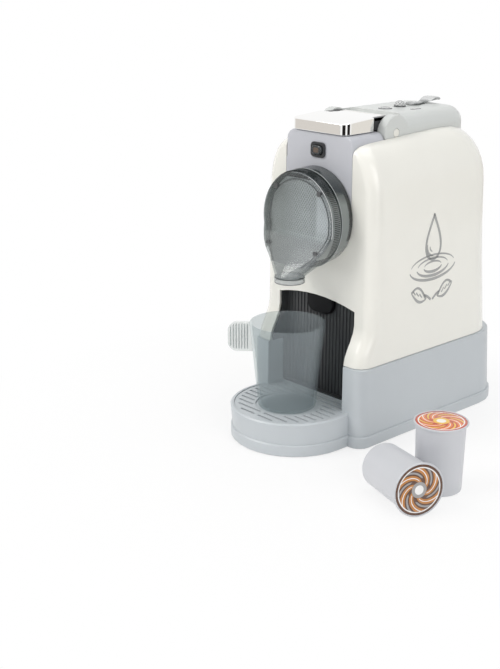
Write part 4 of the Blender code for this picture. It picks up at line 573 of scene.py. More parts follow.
def tab_visual():
    low, high, reach, corner = CUP_HIGH - 24.5, CUP_HIGH - 0.3, CUP_RIM + 17.0, 7.5
    outline = ([(CUP_RIM - 2.6, low)] + arc(reach - corner, low + corner, corner, -90, 0, 10)
               + arc(reach - corner, high - corner, corner, 0, 90, 10) + [(CUP_RIM - 0.4, high)])
    middle_u, middle_v = (CUP_RIM + reach) / 2, (low + high) / 2
    rings = []
    for v, share in ((-1.2, 0.97), (-0.8, 1.0), (0.8, 1.0), (1.2, 0.97)):
        rings.append([((middle_u + (u - middle_u) * share) * MM, v * MM, (middle_v + (z - middle_v) * share) * MM) for u, z in outline])
    bm = loft(rings)
    bm.transform(TAB_PLACE)
    return bm


piece("cup_glass", cup_visual(), cup_smoke, "toy_cup", replaces=("cup",))
piece("cup_handle", tab_visual(), cup_tab, "toy_cup")
rib_smoke = tinted("cup_rib_smoke", (0.60, 0.63, 0.63), (0.90, 0.92, 0.92), 0.35, 0.08, 0.0)
for side, word in ((1, "near"), (-1, "far")):
    grown(f"cup_tab_ribs_{word}", TAB_RIBS, "toy_cup", "cup_smoke", TAB_PLACE, Count=7, First=(CUP_RIM + 1.6) * MM, Pitch=2.2 * MM,
          Radius=0.5 * MM, Half=12.1 * MM, Corner=7.5 * MM, Reach=(CUP_RIM + 17.0) * MM, Margin=2.2 * MM,
          Offset=(0.0, side * 1.2 * MM, (CUP_HIGH - 12.4) * MM), Material=rib_smoke)


# Brew drum

SEAM_Y, SEAM_Z, SEAM_R = -12.7, 175.2, 38.5
BACK_Z, BACK_R = 176.6, 37.7
FRONT_Y, FRONT_Z, FRONT_R = -22.6, 174.2, 37.8
SPOUT_Y, SPOUT_R, SPOUT_TOP = -29.5, 11.2, 131.6
LEAN, FUNNEL, DRUM_EDGE, DRUM_WALL = 167.0, 148.0, 1.4, 1.7


def smooth_share(share):
    share = min(1.0, max(0.0, share))
    return share * share * (3.0 - 2.0 * share)


def drum_face(z):
    reach = SPOUT_R - SPOUT_Y + FRONT_Y
    return FRONT_Y - reach * max(0.0, (LEAN - z) / (LEAN - SPOUT_TOP)) ** 1.15


def drum_half(z):
    share = min(1.0, max(0.0, (FUNNEL - z) / (FUNNEL - SPOUT_TOP)))
    edge = math.sqrt(FRONT_R ** 2 - (FUNNEL - FRONT_Z) ** 2)
    if z > FUNNEL:
        return math.sqrt(max(0.0, FRONT_R ** 2 - (z - FRONT_Z) ** 2))
    return edge + (SPOUT_R - edge) * share ** 0.94


def drum_ring(z, inset=0.0, steps=10):
    share = min(1.0, max(0.0, (FUNNEL - z) / (FUNNEL - SPOUT_TOP)))
    half = max(drum_half(z) - inset, 0.3)
    front = drum_face(z) + inset
    back = SEAM_Y + (SPOUT_Y + SPOUT_R - SEAM_Y) * smooth_share(share) - inset * share
    limit = min(half, (back - front) / 2)
    rounding = smooth_share((LEAN - z) / (LEAN - SPOUT_TOP))
    corner = (min(limit, DRUM_EDGE) + (limit - min(limit, DRUM_EDGE)) * rounding) * 0.98
    return [(x * MM, y * MM, z * MM) for x, y in plan(half, front, back, corner, corner, steps, steps)]


def drum_levels(low, high, count):
    radius = high - FRONT_Z
    start = math.asin(max(-1.0, (low - FRONT_Z) / radius))
    return [FRONT_Z + radius * math.sin(start + (math.pi / 2 - start) * k / count) for k in range(count + 1)]


def drum_front_visual():
    top = FRONT_Z + FRONT_R - 0.05
    levels = [SPOUT_TOP + (FUNNEL - SPOUT_TOP) * k / 12 for k in range(12)] + drum_levels(FUNNEL, top, 40)
    bm = bmesh.new()
    skin(bm, [drum_ring(z) for z in levels], caps=False)
    limit = (SEAM_Y - 0.02) * MM
    doomed = [f for f in bm.faces if all(v.co.y > limit for v in f.verts) and f.calc_center_median().z > (SPOUT_TOP + 10) * MM]
    bmesh.ops.delete(bm, geom=doomed, context="FACES")
    return bm


def drum_back_visual():
    rings = []
    for y, inset in ((-0.3, 0.6), (-0.9, 0.0), (-12.4, 0.0), (-12.4, 1.7), (-2.0, 1.7)):
        share = y / SEAM_Y
        radius = BACK_R + (SEAM_R - BACK_R) * share - inset
        centre = BACK_Z + (SEAM_Z - BACK_Z) * share
        rings.append([(x * MM, y * MM, z * MM) for x, z in arc(0, centre, radius, 0, 360, 96)[:-1]])
    return loft(rings)


def drum_skin(name, cover, front_side):
    """Smoke plastic painted with the shade of what stands behind it: painted shade, darker above and lighter below, a
    painted dark strip of shade at the right of the rear rim, and on the front part a darker strip just before the seam.
    """
    s = Shade(name)
    x, y, z = s.axes()
    # Painted shade: dark above, light below.
    high = s.span(z, 0.190, 0.200)
    tone = s.mix(high, (0.27, 0.30, 0.295), (0.025, 0.035, 0.04))
    low = s.span(z, 0.160, 0.140)
    tone = s.mix(low, tone, (0.44, 0.46, 0.45))
    if front_side:
        tone = s.mix(s.span(y, -0.0137, -0.0133), tone, (0.16, 0.18, 0.18))
    else:
        # Painted shade: a dark strip at the right of the rear rim.
        rear = s.math("MULTIPLY", s.span(y, -0.0052, -0.0040), s.span(x, 0.015, 0.022))
        rear = s.math("MULTIPLY", rear, s.math("MULTIPLY", s.span(z, 0.161, 0.163), s.span(z, 0.206, 0.202)))
        tone = s.mix(rear, tone, (0.012, 0.014, 0.014))
    grainy = s.span(s.noise(60.0, 3.0), 0.3, 0.7)
    tone = s.mix(s.math("MULTIPLY", grainy, 0.2), tone, (0.38, 0.41, 0.40))
    normal = s.bump(s.noise(500.0, 1.0), 0.04, 0.00006)
    skin_shader = s.surface(tone, 0.09, normal, **{"Coat Weight": 0.7, "Coat Roughness": 0.03})
    through = s.add("ShaderNodeBsdfTransparent", {"Color": (0.62, 0.67, 0.67)}).outputs[0]
    return s.done(s.add("ShaderNodeMixShader", {0: cover, 1: through, 2: skin_shader}).outputs[0])


def plate_skin():
    """The flat front: clear over the mesh, its tone painted lighter towards the right as a painted reflection of the
    studio light.
    """
    s = Shade("drum_plate_smoke_painted_light")
    x, y, z = s.axes()
    # Painted reflection: the tone grows lighter towards the right.
    tone = s.mix(s.span(x, -0.030, 0.012), (0.34, 0.36, 0.35), (0.38, 0.40, 0.41))
    skin_shader = s.surface(tone, 0.07, s.bump(s.noise(500.0, 1.0), 0.03, 0.00005), **{"Coat Weight": 0.8, "Coat Roughness": 0.02})
    through = s.add("ShaderNodeBsdfTransparent", {"Color": (0.90, 0.92, 0.92)}).outputs[0]
    side = s.span(s.math("ABSOLUTE", s.math("SUBTRACT", y, FRONT_Y * MM)), 0.0020, 0.0028, 0.16, 0.62)
    lean = s.span(z, 0.166, 0.160)
    cover = s.math("MAXIMUM", s.math("MULTIPLY", side, s.math("SUBTRACT", 1.0, lean)), s.math("MULTIPLY", lean, 0.34))
    return s.done(s.add("ShaderNodeMixShader", {0: cover, 1: through, 2: skin_shader}).outputs[0])


def screen_mesh():
    """Woven wire seen slantwise: two crossing families of fine bright threads over dark gaps, with a painted pale strip
    of reflected studio light on the right that lightens gaps and threads.
    """
    s = Shade("woven_screen")
    x, y, z = s.axes()
    pitch = 2.0 * MM
    threads = []
    for sign in (1.0, -1.0):
        along = s.math("ADD", s.math("MULTIPLY", x, 0.80), s.math("MULTIPLY", z, 0.60 * sign))
        wave = s.math("SINE", s.math("MULTIPLY", along, math.tau / pitch))
        threads.append(s.span(wave, 0.1, 0.6))
    woven = s.math("MAXIMUM", threads[0], threads[1])
    fade = s.math("MULTIPLY", s.span(x, -0.018, 0.004, 0.12, 1.0), s.span(z, 0.146, 0.160, 0.25, 1.0))
    woven = s.math("MULTIPLY", woven, fade)
    # Painted reflection: a pale vertical strip of studio light on the right.
    painted_reflection = s.math("MULTIPLY", s.span(x, 0.0165, 0.0195), s.span(x, 0.0320, 0.0285))
    painted_reflection = s.math("MULTIPLY", painted_reflection, s.math("MULTIPLY", s.span(z, 0.160, 0.170), s.span(z, 0.206, 0.194)))
    gap = s.mix(painted_reflection, (0.36, 0.37, 0.365), (0.68, 0.68, 0.73))
    wire = s.mix(painted_reflection, (0.66, 0.67, 0.68), (0.98, 0.98, 1.0))
    tone = s.mix(woven, gap, wire)
    return s.done(s.surface(tone, 0.5, s.bump(woven, 0.15, 0.0001), **{"Specular IOR Level": 0.3}))


drum_plate = piece("drum_face", drum_front_visual(), plate_skin(), "housing", replaces=("drum_front",), angle=60,
                   extra=(drum_skin("drum_side_smoke_painted_shade", 0.72, True),))
for face in drum_plate.data.polygons:
    if abs(face.normal.y) < 0.6 and face.center.z > 0.150:
        face.material_index = 1
thick = drum_plate.modifiers.new("wall", "SOLIDIFY")
thick.thickness = DRUM_WALL * MM
thick.offset = -1.0
rib_tone = tinted("drum_rib_smoke", (0.045, 0.055, 0.055), (0.35, 0.38, 0.38), 0.7, 0.12, 0.0)
grown("drum_ribs", RIB_RING, "housing", "smoke_clear", Count=121, First=math.radians(-42.0), Step=math.radians(264.0 / 120),
      Radius=(FRONT_R + 0.28) * MM, Bar=(0.4 * MM, 5.6 * MM, 0.5 * MM), Centre=(0.0, -17.4 * MM, 174.75 * MM), Material=rib_tone)
piece("drum_dish", drum_back_visual(), drum_skin("drum_rear_smoke_painted_shade", 0.72, False), "housing", replaces=("drum_back",))


def screen_visual():
    top = FRONT_Z + FRONT_R - 5.0
    rings = []
    for z in drum_levels(140.0, top, 36):
        half = max(0.3, drum_half(z) - 5.2 * min(1.0, max(0.35, (z - 131.0) / 22.0)))
        ring_front, ring_back = [], []
        for k in range(25):
            x = -half + 2 * half * k / 24
            y = drum_face(z) + 2.6 + 1.6 * (x / 33.0) ** 2
            ring_front.append((x * MM, y * MM, z * MM))
            ring_back.append((x * MM, (y + 0.4) * MM, z * MM))
        rings.append(ring_front + ring_back[::-1])
    return loft(rings)


piece("drum_mesh", screen_visual(), screen_mesh(), "housing", replaces=("drum_screen",), angle=40)


def face_outline(inset, low, high, count=60, proud=0.0):
    """Points along the right edge of the drum's face, from low to high."""
    radius = FRONT_R - inset
    points = []
    for k in range(count + 1):
        share = k / count
        angle = -math.pi / 2 + math.pi * share
        z = max(low, min(high, FRONT_Z + radius * math.sin(angle)))
        points.append(((drum_half(z) - inset) * MM if z < FRONT_Z else radius * math.cos(math.asin(min(1.0, (z - FRONT_Z) / radius))) * MM,
                       (drum_face(z) - proud) * MM, z * MM))
    clean = [points[0]]
    for p in points[1:]:
        if (Vector(p) - Vector(clean[-1])).length > 0.2 * MM:
            clean.append(p)
    return clean


# Beads standing in for light: edge_glint is a pale bead for a painted highlight, edge_shadow a dark bead for painted
# shade.
painted_glint_bead = moulded("edge_glint", (0.82, 0.84, 0.85), 0.12, 0.02)
painted_shade_bead = moulded("edge_shadow", (0.05, 0.06, 0.062), 0.33, 0.05)

# Painted shade: a dark bead along the inner edge of the face's rim, where the mesh begins.
right = face_outline(5.6, 139.0, FRONT_Z + FRONT_R - 5.6)
left = [(-x, y, z) for x, y, z in reversed(right)]
inner = [Vector(p) + Vector((0, 1.9 * MM, 0)) for p in right + left[1:]]
piece("drum_mesh_edge_shade", tube(inner, 0.45 * MM), painted_shade_bead, "housing")
# Painted highlight: a pale bead along the upper right of the face's rim stands for its glint.
arc_points = [(x * MM, (FRONT_Y + 0.35) * MM, z * MM) for x, z in arc(0, FRONT_Z, FRONT_R - 0.28, -12, 100, 60)]
piece("drum_edge_glint", tube(arc_points, 0.16 * MM, sides=6), painted_glint_bead, "housing")
seam = [(x * MM, -12.55 * MM, z * MM) for x, z in arc(0, SEAM_Z, SEAM_R - 0.25, 0, 360, 96)[:-1]]
piece("drum_seam", tube(seam, 0.3 * MM, closed=True, sides=6), moulded("seam_grey", (0.36, 0.38, 0.38), 0.2), "housing")
# Painted shade: dark beads above and below the spout collar.
for number, z in enumerate((SPOUT_TOP + 0.05, 127.75), 1):
    ring = [(x * MM, y * MM, z * MM) for x, y in arc(0, SPOUT_Y, SPOUT_R + 0.38, 0, 360, 72)[:-1]]
    piece(f"spout_shade_line_{number}", tube(ring, 0.32 * MM, closed=True, sides=6), painted_shade_bead, "housing")


# Line art on the body's sides: a falling drop over ripples, with two leaves

def body_half(z):
    low, high = 95.0, 193.0
    foot = 65.1
    share = (z - foot) / (high - foot)
    stops = [foot + (low - foot) * k / 5 for k in range(6)] + [low + (high - low) * s for s in (0.33, 0.66, 1.0)]
    halves = [60.2 + (58.8 - 60.2) * ((stop - foot) / (high - foot)) ** 2 for stop in stops]
    for (z0, h0), (z1, h1) in zip(zip(stops, halves), zip(stops[1:], halves[1:])):
        if z0 <= z <= z1:
            return h0 + (h1 - h0) * (z - z0) / (z1 - z0)
    return 60.2 - 1.4 * share ** 2


def stroke(bm, points, width, side, closed=False, taper=False):
    """A flat printed line on the body's side wall; points are (y, z) in mm."""
    count = len(points)
    pairs = []
    for index, (y, z) in enumerate(points):
        before = points[index - 1] if closed or index else points[index]
        after = points[(index + 1) % count] if closed or index < count - 1 else points[index]
        run = Vector((after[0] - before[0], after[1] - before[1])).normalized()
        size = width / 2
        if taper:
            size *= 0.35 + 0.65 * math.sin(math.pi * min(1.0, max(0.0, (index + 0.5) / count)))
        pair = []
        for sign in (1, -1):
            v, w = y - run.y * size * sign, z + run.x * size * sign
            pair.append(bm.verts.new((side * (body_half(w) + 0.05) * MM, v * MM, w * MM)))
        pairs.append(pair)
    if closed:
        pairs.append(pairs[0])
    for (a, b), (c, d) in zip(pairs, pairs[1:]):
        bm.faces.new((a, c, d, b))


def side_art(side):
    bm = bmesh.new()
    drop = []
    for k in range(60):
        t = math.tau * k / 60
        drop.append((70.0 + 12.5 * math.sin(t) * math.sin(t / 2) ** 1.4, 157.5 + 18.0 * math.cos(t)))
    stroke(bm, drop, 2.2, side, closed=True)
    stroke(bm, arc(70.0, 150.0, 7.6, 165, 270, 20), 2.2, side, taper=True)
    stroke(bm, arc(70.0, 150.0, 4.2, 175, 255, 12), 1.2, side, taper=True)
    for number, radius in enumerate((11.0, 19.0, 26.5)):
        tilt = 1.0 + 0.03 * number
        low = [(70.0 + (y - 70.0) * tilt, 134.0 + (z - 134.0) * 0.40) for y, z in arc(70.0, 134.0, radius, 190, 352, 48)]
        high = [(70.0 + (y - 70.0) * tilt, 134.0 + (z - 134.0) * 0.36) for y, z in arc(70.0, 134.0, radius * 0.95, 12, 168, 48)]
        stroke(bm, low, 2.4, side, taper=True)
        stroke(bm, high, 1.5, side, taper=True)
    for sign in (-1, 1):
        shares = [k / 24 for k in range(25)]
        stroke(bm, [(70.0 + sign * (1.0 + 9.0 * q), 106.5 + 5.0 * math.sin(q * math.pi * 0.5)) for q in shares], 2.0, side)
        top = [(70.0 + sign * (7.0 + 18.0 * q), 108.0 + 8.0 * q + 6.5 * math.sin(q * math.pi)) for q in shares]
        low = [(70.0 + sign * (7.0 + 18.0 * q), 108.0 + 8.0 * q - 4.5 * math.sin(q * math.pi)) for q in shares]
        stroke(bm, top, 1.9, side)
        stroke(bm, low, 2.3, side, taper=True)
        for q in (0.28, 0.5, 0.72):
            foot = (70.0 + sign * (7.0 + 18.0 * q), 108.0 + 8.0 * q)
            stroke(bm, [foot, (foot[0] + sign * 1.8, foot[1] + 2.0), (foot[0] + sign * 3.0, foot[1] + 3.6)], 1.1, side)
    return bm


ink = moulded("art_grey", (0.40, 0.405, 0.40), 0.4, 0.05)
for side, name in ((1, "side_art_right"), (-1, "side_art_left")):
    made = piece(name, side_art(side), ink, "housing")
    away = made.modifiers.new("film", "SOLIDIFY")
    away.thickness = 0.05 * MM
    away.offset = -1.0 if side > 0 else 1.0


# Pods

POD_R, POD_H, POD_FOOT, POD_NECK = 19.8, 52.5, 17.0, 18.4


def pod_matrices():
    standing = Matrix.Translation((144.3 * MM, -17.8 * MM, 0)) @ Matrix.Rotation(math.radians(40.0), 4, "Z")
    tilt = math.atan2(POD_R - POD_FOOT, POD_H - 1.2)
    lying = (Matrix.Translation((164.4 * MM, -63.9 * MM, POD_R * MM * math.cos(tilt)))
             @ Matrix.Rotation(math.radians(-19.8), 4, "Z") @ Matrix.Rotation(math.pi / 2 - tilt, 4, "Y")
             @ Matrix.Translation((0, 0, -POD_H * MM)))
    return standing, lying


def pod_visual(matrix):
    profile = [(0, 0), (POD_FOOT - 2.4, 0), (POD_FOOT - 2.2, 0.35), (POD_FOOT - 1.6, 0.35), (POD_FOOT - 1.2, 0.0)]
    profile += [(POD_FOOT - 1.2 + 1.2 * math.sin(a), 1.2 - 1.2 * math.cos(a)) for a in (math.pi / 2 * k / 4 for k in range(1, 5))]
    profile += [(POD_NECK - 0.4, POD_H - 3.2), (POD_NECK, POD_H - 1.9), (POD_NECK + 0.3, POD_H - 1.6), (POD_R - 0.4, POD_H - 1.5),
                (POD_R, POD_H - 1.1), (POD_R, POD_H - 0.5), (POD_R - 0.15, POD_H - 0.15), (POD_R - 0.5, POD_H),
                (18.9, POD_H), (18.6, POD_H - 0.25), (18.6, POD_H - 1.2), (0, POD_H - 1.2)]
    return turned([(r * MM, h * MM) for r, h in profile], 96, matrix)


def film_visual(matrix):
    profile = [(0, POD_H - 1.15), (18.5, POD_H - 1.15), (18.5, POD_H - 0.42), (18.2, POD_H - 0.3), (0, POD_H - 0.3)]
    return turned([(r * MM, h * MM) for r, h in profile], 96, matrix)


def film_print(name, matrix, deep, mid, warm, pale, twist):
    """Pinwheel of curved petals round a small sun, in a ring."""
    s = Shade(name)
    centre = matrix @ Vector((0, 0, POD_H * MM))
    east, north = matrix.to_3x3() @ Vector((1, 0, 0)), matrix.to_3x3() @ Vector((0, 1, 0))
    rel = s.add("ShaderNodeVectorMath", {0: s.place, 1: tuple(centre)}, operation="SUBTRACT").outputs[0]
    u = s.add("ShaderNodeVectorMath", {0: rel, 1: tuple(east)}, operation="DOT_PRODUCT").outputs["Value"]
    v = s.add("ShaderNodeVectorMath", {0: rel, 1: tuple(north)}, operation="DOT_PRODUCT").outputs["Value"]
    radius = s.math("SQRT", s.math("ADD", s.math("MULTIPLY", u, u), s.math("MULTIPLY", v, v)))
    angle = s.math("ARCTAN2", v, u)
    swirl = s.math("ADD", angle, s.math("MULTIPLY", radius, twist / MM))
    petal = s.math("SINE", s.math("MULTIPLY", swirl, 6.0))
    tone = s.mix(s.span(petal, -0.08, 0.08), deep, mid)
    tone = s.mix(s.math("MULTIPLY", s.span(petal, 0.95, 0.98), s.span(radius, 0.0062, 0.0068)), tone, pale)
    tone = s.mix(s.math("MULTIPLY", s.span(petal, -0.80, -0.88), s.span(radius, 0.0085, 0.0092)), tone, warm)
    tone = s.mix(s.span(radius, 0.0060, 0.0057), tone, warm)
    tone = s.mix(s.span(radius, 0.0036, 0.0033), tone, pale)
    tone = s.mix(s.span(radius, 0.0158, 0.0161), tone, pale)
    tone = s.mix(s.span(radius, 0.0166, 0.0169), tone, deep)
    tone = s.mix(s.span(s.noise(300.0, 2.0), 0.35, 0.65, 0.0, 0.04), tone, pale)
    return s.done(s.surface(tone, 0.24, s.bump(s.noise(250.0, 2.0), 0.06, 0.0001), **{"Coat Weight": 0.4, "Coat Roughness": 0.1}))


standing, lying = pod_matrices()
RED = ((0.50, 0.055, 0.02), (0.78, 0.20, 0.03), (0.85, 0.52, 0.06), (0.93, 0.90, 0.86), 0.12)
BROWN = ((0.10, 0.035, 0.012), (0.52, 0.20, 0.03), (0.35, 0.34, 0.34), (0.90, 0.89, 0.88), -0.12)
piece("standing_pod_shell", pod_visual(standing), pod_shell, "standing_pod", replaces=("pod_standing_cup",))
piece("standing_pod_film", film_visual(standing), film_print("film_red", standing, *RED), "standing_pod",
      replaces=("pod_standing_lid",))
piece("lying_pod_shell", pod_visual(lying), pod_shell, "lying_pod", replaces=("pod_lying_cup",))
piece("lying_pod_film", film_visual(lying), film_print("film_brown", lying, *BROWN), "lying_pod",
      replaces=("pod_lying_lid",))


# Controls on the deck

DECK_TOP = 251.0


def ring_key_visual():
    r, top = 5.4, DECK_TOP + 0.8
    profile = [(0, 245.0), (1.6, 245.0), (1.6, 247.5), (6.4, 247.5), (6.4, 248.7), (r, 248.7), (r, top - 0.5), (r - 0.15, top - 0.15),
               (r - 0.5, top), (3.9, top), (3.6, top - 0.15), (3.4, top - 0.5), (0, top - 0.42)]
    return turned([(a * MM, b * MM) for a, b in profile], 64, Matrix.Translation((0, 75.0 * MM, 0)))


def ring_key_look():
    s = Shade("ring_key")
    x, y, z = s.axes()
    v = s.math("SUBTRACT", y, 75.0 * MM)
    radius = s.math("SQRT", s.math("ADD", s.math("MULTIPLY", x, x), s.math("MULTIPLY", v, v)))
    tone = s.mix(s.span(radius, 0.0034, 0.0036), (0.80, 0.80, 0.80), (0.10, 0.105, 0.11))
    tone = s.mix(s.span(radius, 0.0041, 0.0043), tone, (0.70, 0.71, 0.72))
    tone = s.mix(s.span(radius, 0.0050, 0.0052), tone, (0.16, 0.165, 0.17))
    bar = s.math("MULTIPLY", s.span(s.math("ABSOLUTE", x), 0.00075, 0.0006), s.span(s.math("ABSOLUTE", v), 0.0019, 0.0017))
    tone = s.mix(bar, tone, (0.06, 0.06, 0.065))
    return s.done(s.surface(tone, 0.16, s.bump(s.noise(400.0, 1.0), 0.05, 0.0001), **{"Coat Weight": 0.4}))


def dome_visual():
    r, rise = 4.9, 5.0
    profile = [(3.0, 247.5), (5.9, 247.5), (5.9, 248.7), (r, 248.7), (r, DECK_TOP)]
    profile += [(r * math.cos(a), DECK_TOP + rise * math.sin(a)) for a in (math.pi / 2 * k / 16 for k in range(1, 16))]
    profile += [(0, DECK_TOP + rise), (0, DECK_TOP - 0.3), (3.0, DECK_TOP - 0.3)]
    return turned([(a * MM, b * MM) for a, b in profile], 64, Matrix.Translation((0, 92.7 * MM, 0)))


def dome_look():
    s = Shade("lamp_dome_clear")
    x, y, z = s.axes()
    angle = s.math("ARCTAN2", s.math("SUBTRACT", y, 92.7 * MM), x)
    facets = s.math("SINE", s.math("MULTIPLY", angle, 9.0))
    rows = s.math("SINE", s.math("MULTIPLY", z, math.tau / (2.2 * MM)))
    # Painted reflection: the facets inside the dome are painted as a sparkle of bright and dark; the same pattern bumps
    # the surface.
    painted_sparkle = s.span(s.math("MULTIPLY", facets, rows), -0.6, 0.6)
    tone = s.mix(painted_sparkle, (0.30, 0.31, 0.31), (0.86, 0.86, 0.86))
    # Painted shade: the base of the dome is darkened.
    tone = s.mix(s.span(z, 0.2526, 0.2518), tone, (0.08, 0.085, 0.09))
    skin_shader = s.surface(tone, 0.08, s.bump(painted_sparkle, 0.25, 0.0004), **{"Coat Weight": 0.8, "Coat Roughness": 0.03})
    through = s.add("ShaderNodeBsdfTransparent", {"Color": (0.92, 0.93, 0.93)}).outputs[0]
    return s.done(s.add("ShaderNodeMixShader", {0: 0.7, 1: through, 2: skin_shader}).outputs[0])


def rocker_visual():
    base = DECK_TOP + 0.42
    shares = (
        (-1.00, 0.30, 0.02, 0.14), (-0.88, 0.66, 0.00, 0.30), (-0.60, 0.84, 0.00, 0.38), (-0.33, 0.66, 0.00, 0.32),
        (-0.07, 0.47, 0.00, 0.28), (0.15, 0.54, 0.10, 0.37), (0.35, 0.80, 0.20, 0.61), (0.55, 0.98, 0.34, 0.87),
        (0.75, 1.00, 0.36, 0.95), (0.92, 0.86, 0.26, 0.82), (1.00, 0.50, 0.22, 0.50))
    rings = []
    for index in range(len(shares) - 1):
        a, b = shares[index], shares[index + 1]
        before, after = shares[max(0, index - 1)], shares[min(len(shares) - 1, index + 2)]
        for k in range(5):
            t = k / 5
            row = [0.5 * (2 * q + (r - p) * t + (2 * p - 5 * q + 4 * r - w) * t * t + (3 * q - p - 3 * r + w) * t ** 3)
                   for p, q, r, w in zip(before, a, b, after)]
            rings.append(row)
    rings.append(list(shares[-1]))
    made = []
    for along, wide, low, high in rings:
        y = 118.0 + along * (15.0 if along < 0 else 20.0)
        y = min(138.0, max(103.0, y))
        half = 7.2 * min(1.0, max(0.25, wide))
        bottom, top = base + 5.0 * max(0.0, low), base + 5.0 * max(low + 0.08, high)
        middle, depth = (bottom + top) / 2, (top - bottom) / 2
        made.append([(half * math.copysign(abs(u) ** 0.6, u) * MM, y * MM, (middle + depth * math.copysign(abs(v) ** 0.8, v)) * MM)
                     for u, v in arc(0, 0, 1, 0, 360, 28)[:-1]])
    body = loft(made)
    stem_ring = plan(3.2, 115.6, 120.4, 0.5, 0.5, 2, 2)
    stem = loft([[(x * MM, y * MM, z * MM) for x, y in stem_ring] for z in (244.8, base + 0.6)])
    return join_bms(body, stem)


def rocker_look():
    s = Shade("rocker_smoke_painted_light")
    x, y, z = s.axes()
    # Painted reflection: the rear lobe is painted pale; the front wing keeps the smoke plastic's own dark tone.
    back = s.span(y, 0.1215, 0.1245)
    tone = s.mix(back, (0.12, 0.13, 0.13), (0.74, 0.75, 0.75))
    # Painted shade: the side edges are darkened.
    edge = s.span(s.math("ABSOLUTE", x), 0.0056, 0.0066)
    tone = s.mix(s.math("MULTIPLY", edge, 0.8), tone, (0.14, 0.15, 0.15))
    # Painted shade: the tail behind the lobe is darkened.
    tone = s.mix(s.span(y, 0.1325, 0.1343), tone, (0.10, 0.11, 0.11))
    # Painted highlights: noise flecks of white.
    tone = s.mix(s.span(s.noise(160.0, 2.0), 0.45, 0.62, 0.0, 0.5), tone, (0.75, 0.75, 0.75))
    skin_shader = s.surface(tone, 0.1, s.bump(s.noise(300.0, 1.0), 0.08, 0.0002), **{"Coat Weight": 0.7, "Coat Roughness": 0.04})
    through = s.add("ShaderNodeBsdfTransparent", {"Color": (0.85, 0.87, 0.87)}).outputs[0]
    return s.done(s.add("ShaderNodeMixShader", {0: 0.75, 1: through, 2: skin_shader}).outputs[0])


piece("ring_key_cap", ring_key_visual(), ring_key_look(), "ring_key", replaces=("ring_button",))
piece("lamp_dome_cap", dome_visual(), dome_look(), "housing", replaces=("lamp_dome",))
piece("rocker_wings", rocker_visual(), rocker_look(), "rocker_key", replaces=("rocker",), angle=60)

window = [(x * MM, -3.23 * MM, z * MM) for x, z in plan(2.6, 224.6, 228.4, 0.8, 0.8, 4, 4)]
window_back = [(x, y + 0.2 * MM, z) for x, y, z in window]
piece("front_key_window", loft([window, window_back]), moulded("window_brown", (0.11, 0.075, 0.055), 0.15, 0.1, coat=0.5),
      "front_key")


# Studio

def area(name, place, target, size, power, colour=(1.0, 1.0, 1.0)):
    data = bpy.data.lights.new(name, "AREA")
    data.shape = "RECTANGLE"
    data.size, data.size_y = size
    data.energy = power
    data.color = colour
    lamp = bpy.data.objects.new(name, data)
    lamp.location = place
    lamp.rotation_euler = (Vector(target) - Vector(place)).to_track_quat("-Z", "Y").to_euler()
    bpy.context.scene.collection.objects.link(lamp)


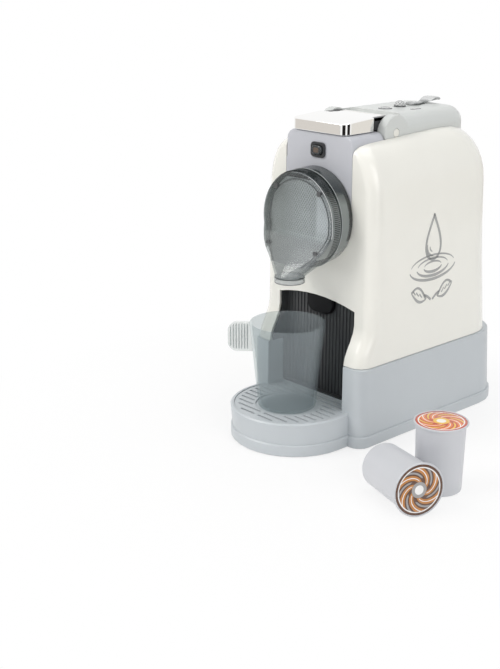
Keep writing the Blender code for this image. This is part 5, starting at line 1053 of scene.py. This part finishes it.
def studio():
    scene = bpy.context.scene
    world = bpy.data.worlds.new("studio")
    scene.world = world
    world.use_nodes = True
    tree = world.node_tree
    tree.nodes.clear()
    path = tree.nodes.new("ShaderNodeLightPath")
    seen = tree.nodes.new("ShaderNodeBackground")
    seen.inputs["Color"].default_value = (1.0, 1.0, 1.0, 1.0)
    light = tree.nodes.new("ShaderNodeBackground")
    light.inputs["Color"].default_value = (0.97, 0.98, 1.0, 1.0)
    light.inputs["Strength"].default_value = 0.40
    mixed = tree.nodes.new("ShaderNodeMixShader")
    either = tree.nodes.new("ShaderNodeMath")
    either.operation = "MAXIMUM"
    both = tree.nodes.new("ShaderNodeMath")
    both.operation = "MAXIMUM"
    tree.links.new(path.outputs["Is Glossy Ray"], either.inputs[0])
    tree.links.new(path.outputs["Is Transmission Ray"], either.inputs[1])
    tree.links.new(either.outputs[0], both.inputs[0])
    tree.links.new(path.outputs["Is Camera Ray"], both.inputs[1])
    out = tree.nodes.new("ShaderNodeOutputWorld")
    tree.links.new(both.outputs[0], mixed.inputs[0])
    tree.links.new(light.outputs[0], mixed.inputs[1])
    tree.links.new(seen.outputs[0], mixed.inputs[2])
    tree.links.new(mixed.outputs[0], out.inputs["Surface"])

    area("key", (-0.9, -1.5, 1.5), (0.02, 0.0, 0.12), (1.3, 1.1), 23.0, (1.0, 0.985, 0.96))
    area("fill", (1.9, -0.5, 1.0), (0.02, 0.03, 0.12), (1.4, 1.2), 14.0, (1.0, 0.99, 0.97))
    area("top", (0.1, 0.3, 1.9), (0.05, 0.0, 0.1), (1.6, 1.6), 10.6)

    bm = bmesh.new()
    corners = [bm.verts.new((x, y, -0.0004)) for x, y in ((-4, -4), (4, -4), (4, 4), (-4, 4))]
    bm.faces.new(corners)
    mesh = bpy.data.meshes.new("floor")
    bm.to_mesh(mesh)
    bm.free()
    floor = bpy.data.objects.new("floor", mesh)
    bpy.context.scene.collection.objects.link(floor)
    s = Shade("floor_white")
    u, v, _ = s.axes()
    reach = s.math("SQRT", s.math("ADD", s.math("MULTIPLY", u, u), s.math("MULTIPLY", v, v)))
    ground = s.surface(s.mix(s.noise(3.0), (0.93, 0.93, 0.93), (0.95, 0.95, 0.95)), 0.6)
    glow = s.add("ShaderNodeEmission", {"Color": (1.0, 1.0, 1.0), "Strength": 1.0}).outputs[0]
    rays = s.add("ShaderNodeLightPath").outputs
    seen_ray = s.math("MAXIMUM", rays["Is Camera Ray"], s.math("MAXIMUM", rays["Is Glossy Ray"], rays["Is Transmission Ray"]))
    share = s.math("MULTIPLY", seen_ray, s.span(reach, 0.10, 0.30, 0.72, 1.0))
    mesh.materials.append(s.done(s.add("ShaderNodeMixShader", {0: share, 1: ground, 2: glow}).outputs[0]))

    cards = ((-70, -24, 0.05, 0.22, (0.72, 0.685, 0.645)), (-22, -17, 0.05, 0.22, (0.30, 0.29, 0.28)),
             (15, 61, 0.05, 0.22, (0.018, 0.016, 0.016)), (86, 129, 0.05, 0.22, (0.018, 0.016, 0.016)),
             (134, 200, 0.05, 0.22, (0.80, 0.77, 0.72)))
    for number, (start, end, low, high, colour) in enumerate(cards, 1):
        bm = bmesh.new()
        points = [(0.66 * math.sin(math.radians(a)), -0.66 * math.cos(math.radians(a))) for a in
                  (start + (end - start) * k / 24 for k in range(25))]
        skin(bm, [[(x, y, z) for x, y in points] for z in (low, high)], closed=False, caps=False)
        mesh = bpy.data.meshes.new("card")
        bm.to_mesh(mesh)
        bm.free()
        card = bpy.data.objects.new(f"card_{number}", mesh)
        bpy.context.scene.collection.objects.link(card)
        look = Shade(f"card_tone_{number}")
        tone = look.mix(look.noise(8.0), tuple(c * 0.97 for c in colour), colour)
        mesh.materials.append(look.done(look.add("ShaderNodeEmission", {"Color": tone, "Strength": 1.0}).outputs[0]))
        card.visible_camera = False
        card.visible_diffuse = False
        card.visible_shadow = False

    data = bpy.data.cameras.new("camera")
    data.sensor_width = 36.0
    data.sensor_fit = "AUTO"
    data.lens = 1184.98 * 36.0 / 669.0
    camera = bpy.data.objects.new("camera", data)
    az, el = math.radians(47.5422), math.radians(18.2941)
    back = Vector((math.sin(az) * math.cos(el), -math.cos(az) * math.cos(el), math.sin(el)))
    side = Vector((math.cos(az), math.sin(az), 0.0))
    up = back.cross(side)
    turn = Matrix((side, up, back)).transposed().to_4x4()
    camera.matrix_world = Matrix.Translation((0.6305, -0.6479, 0.3763)) @ turn
    data.clip_start = 0.02
    bpy.context.scene.collection.objects.link(camera)
    scene.camera = camera
    scene.view_settings.view_transform = "Standard"
    scene.view_settings.look = "None"
    scene.view_settings.exposure = 0.0
    scene.view_settings.gamma = 1.0


studio()
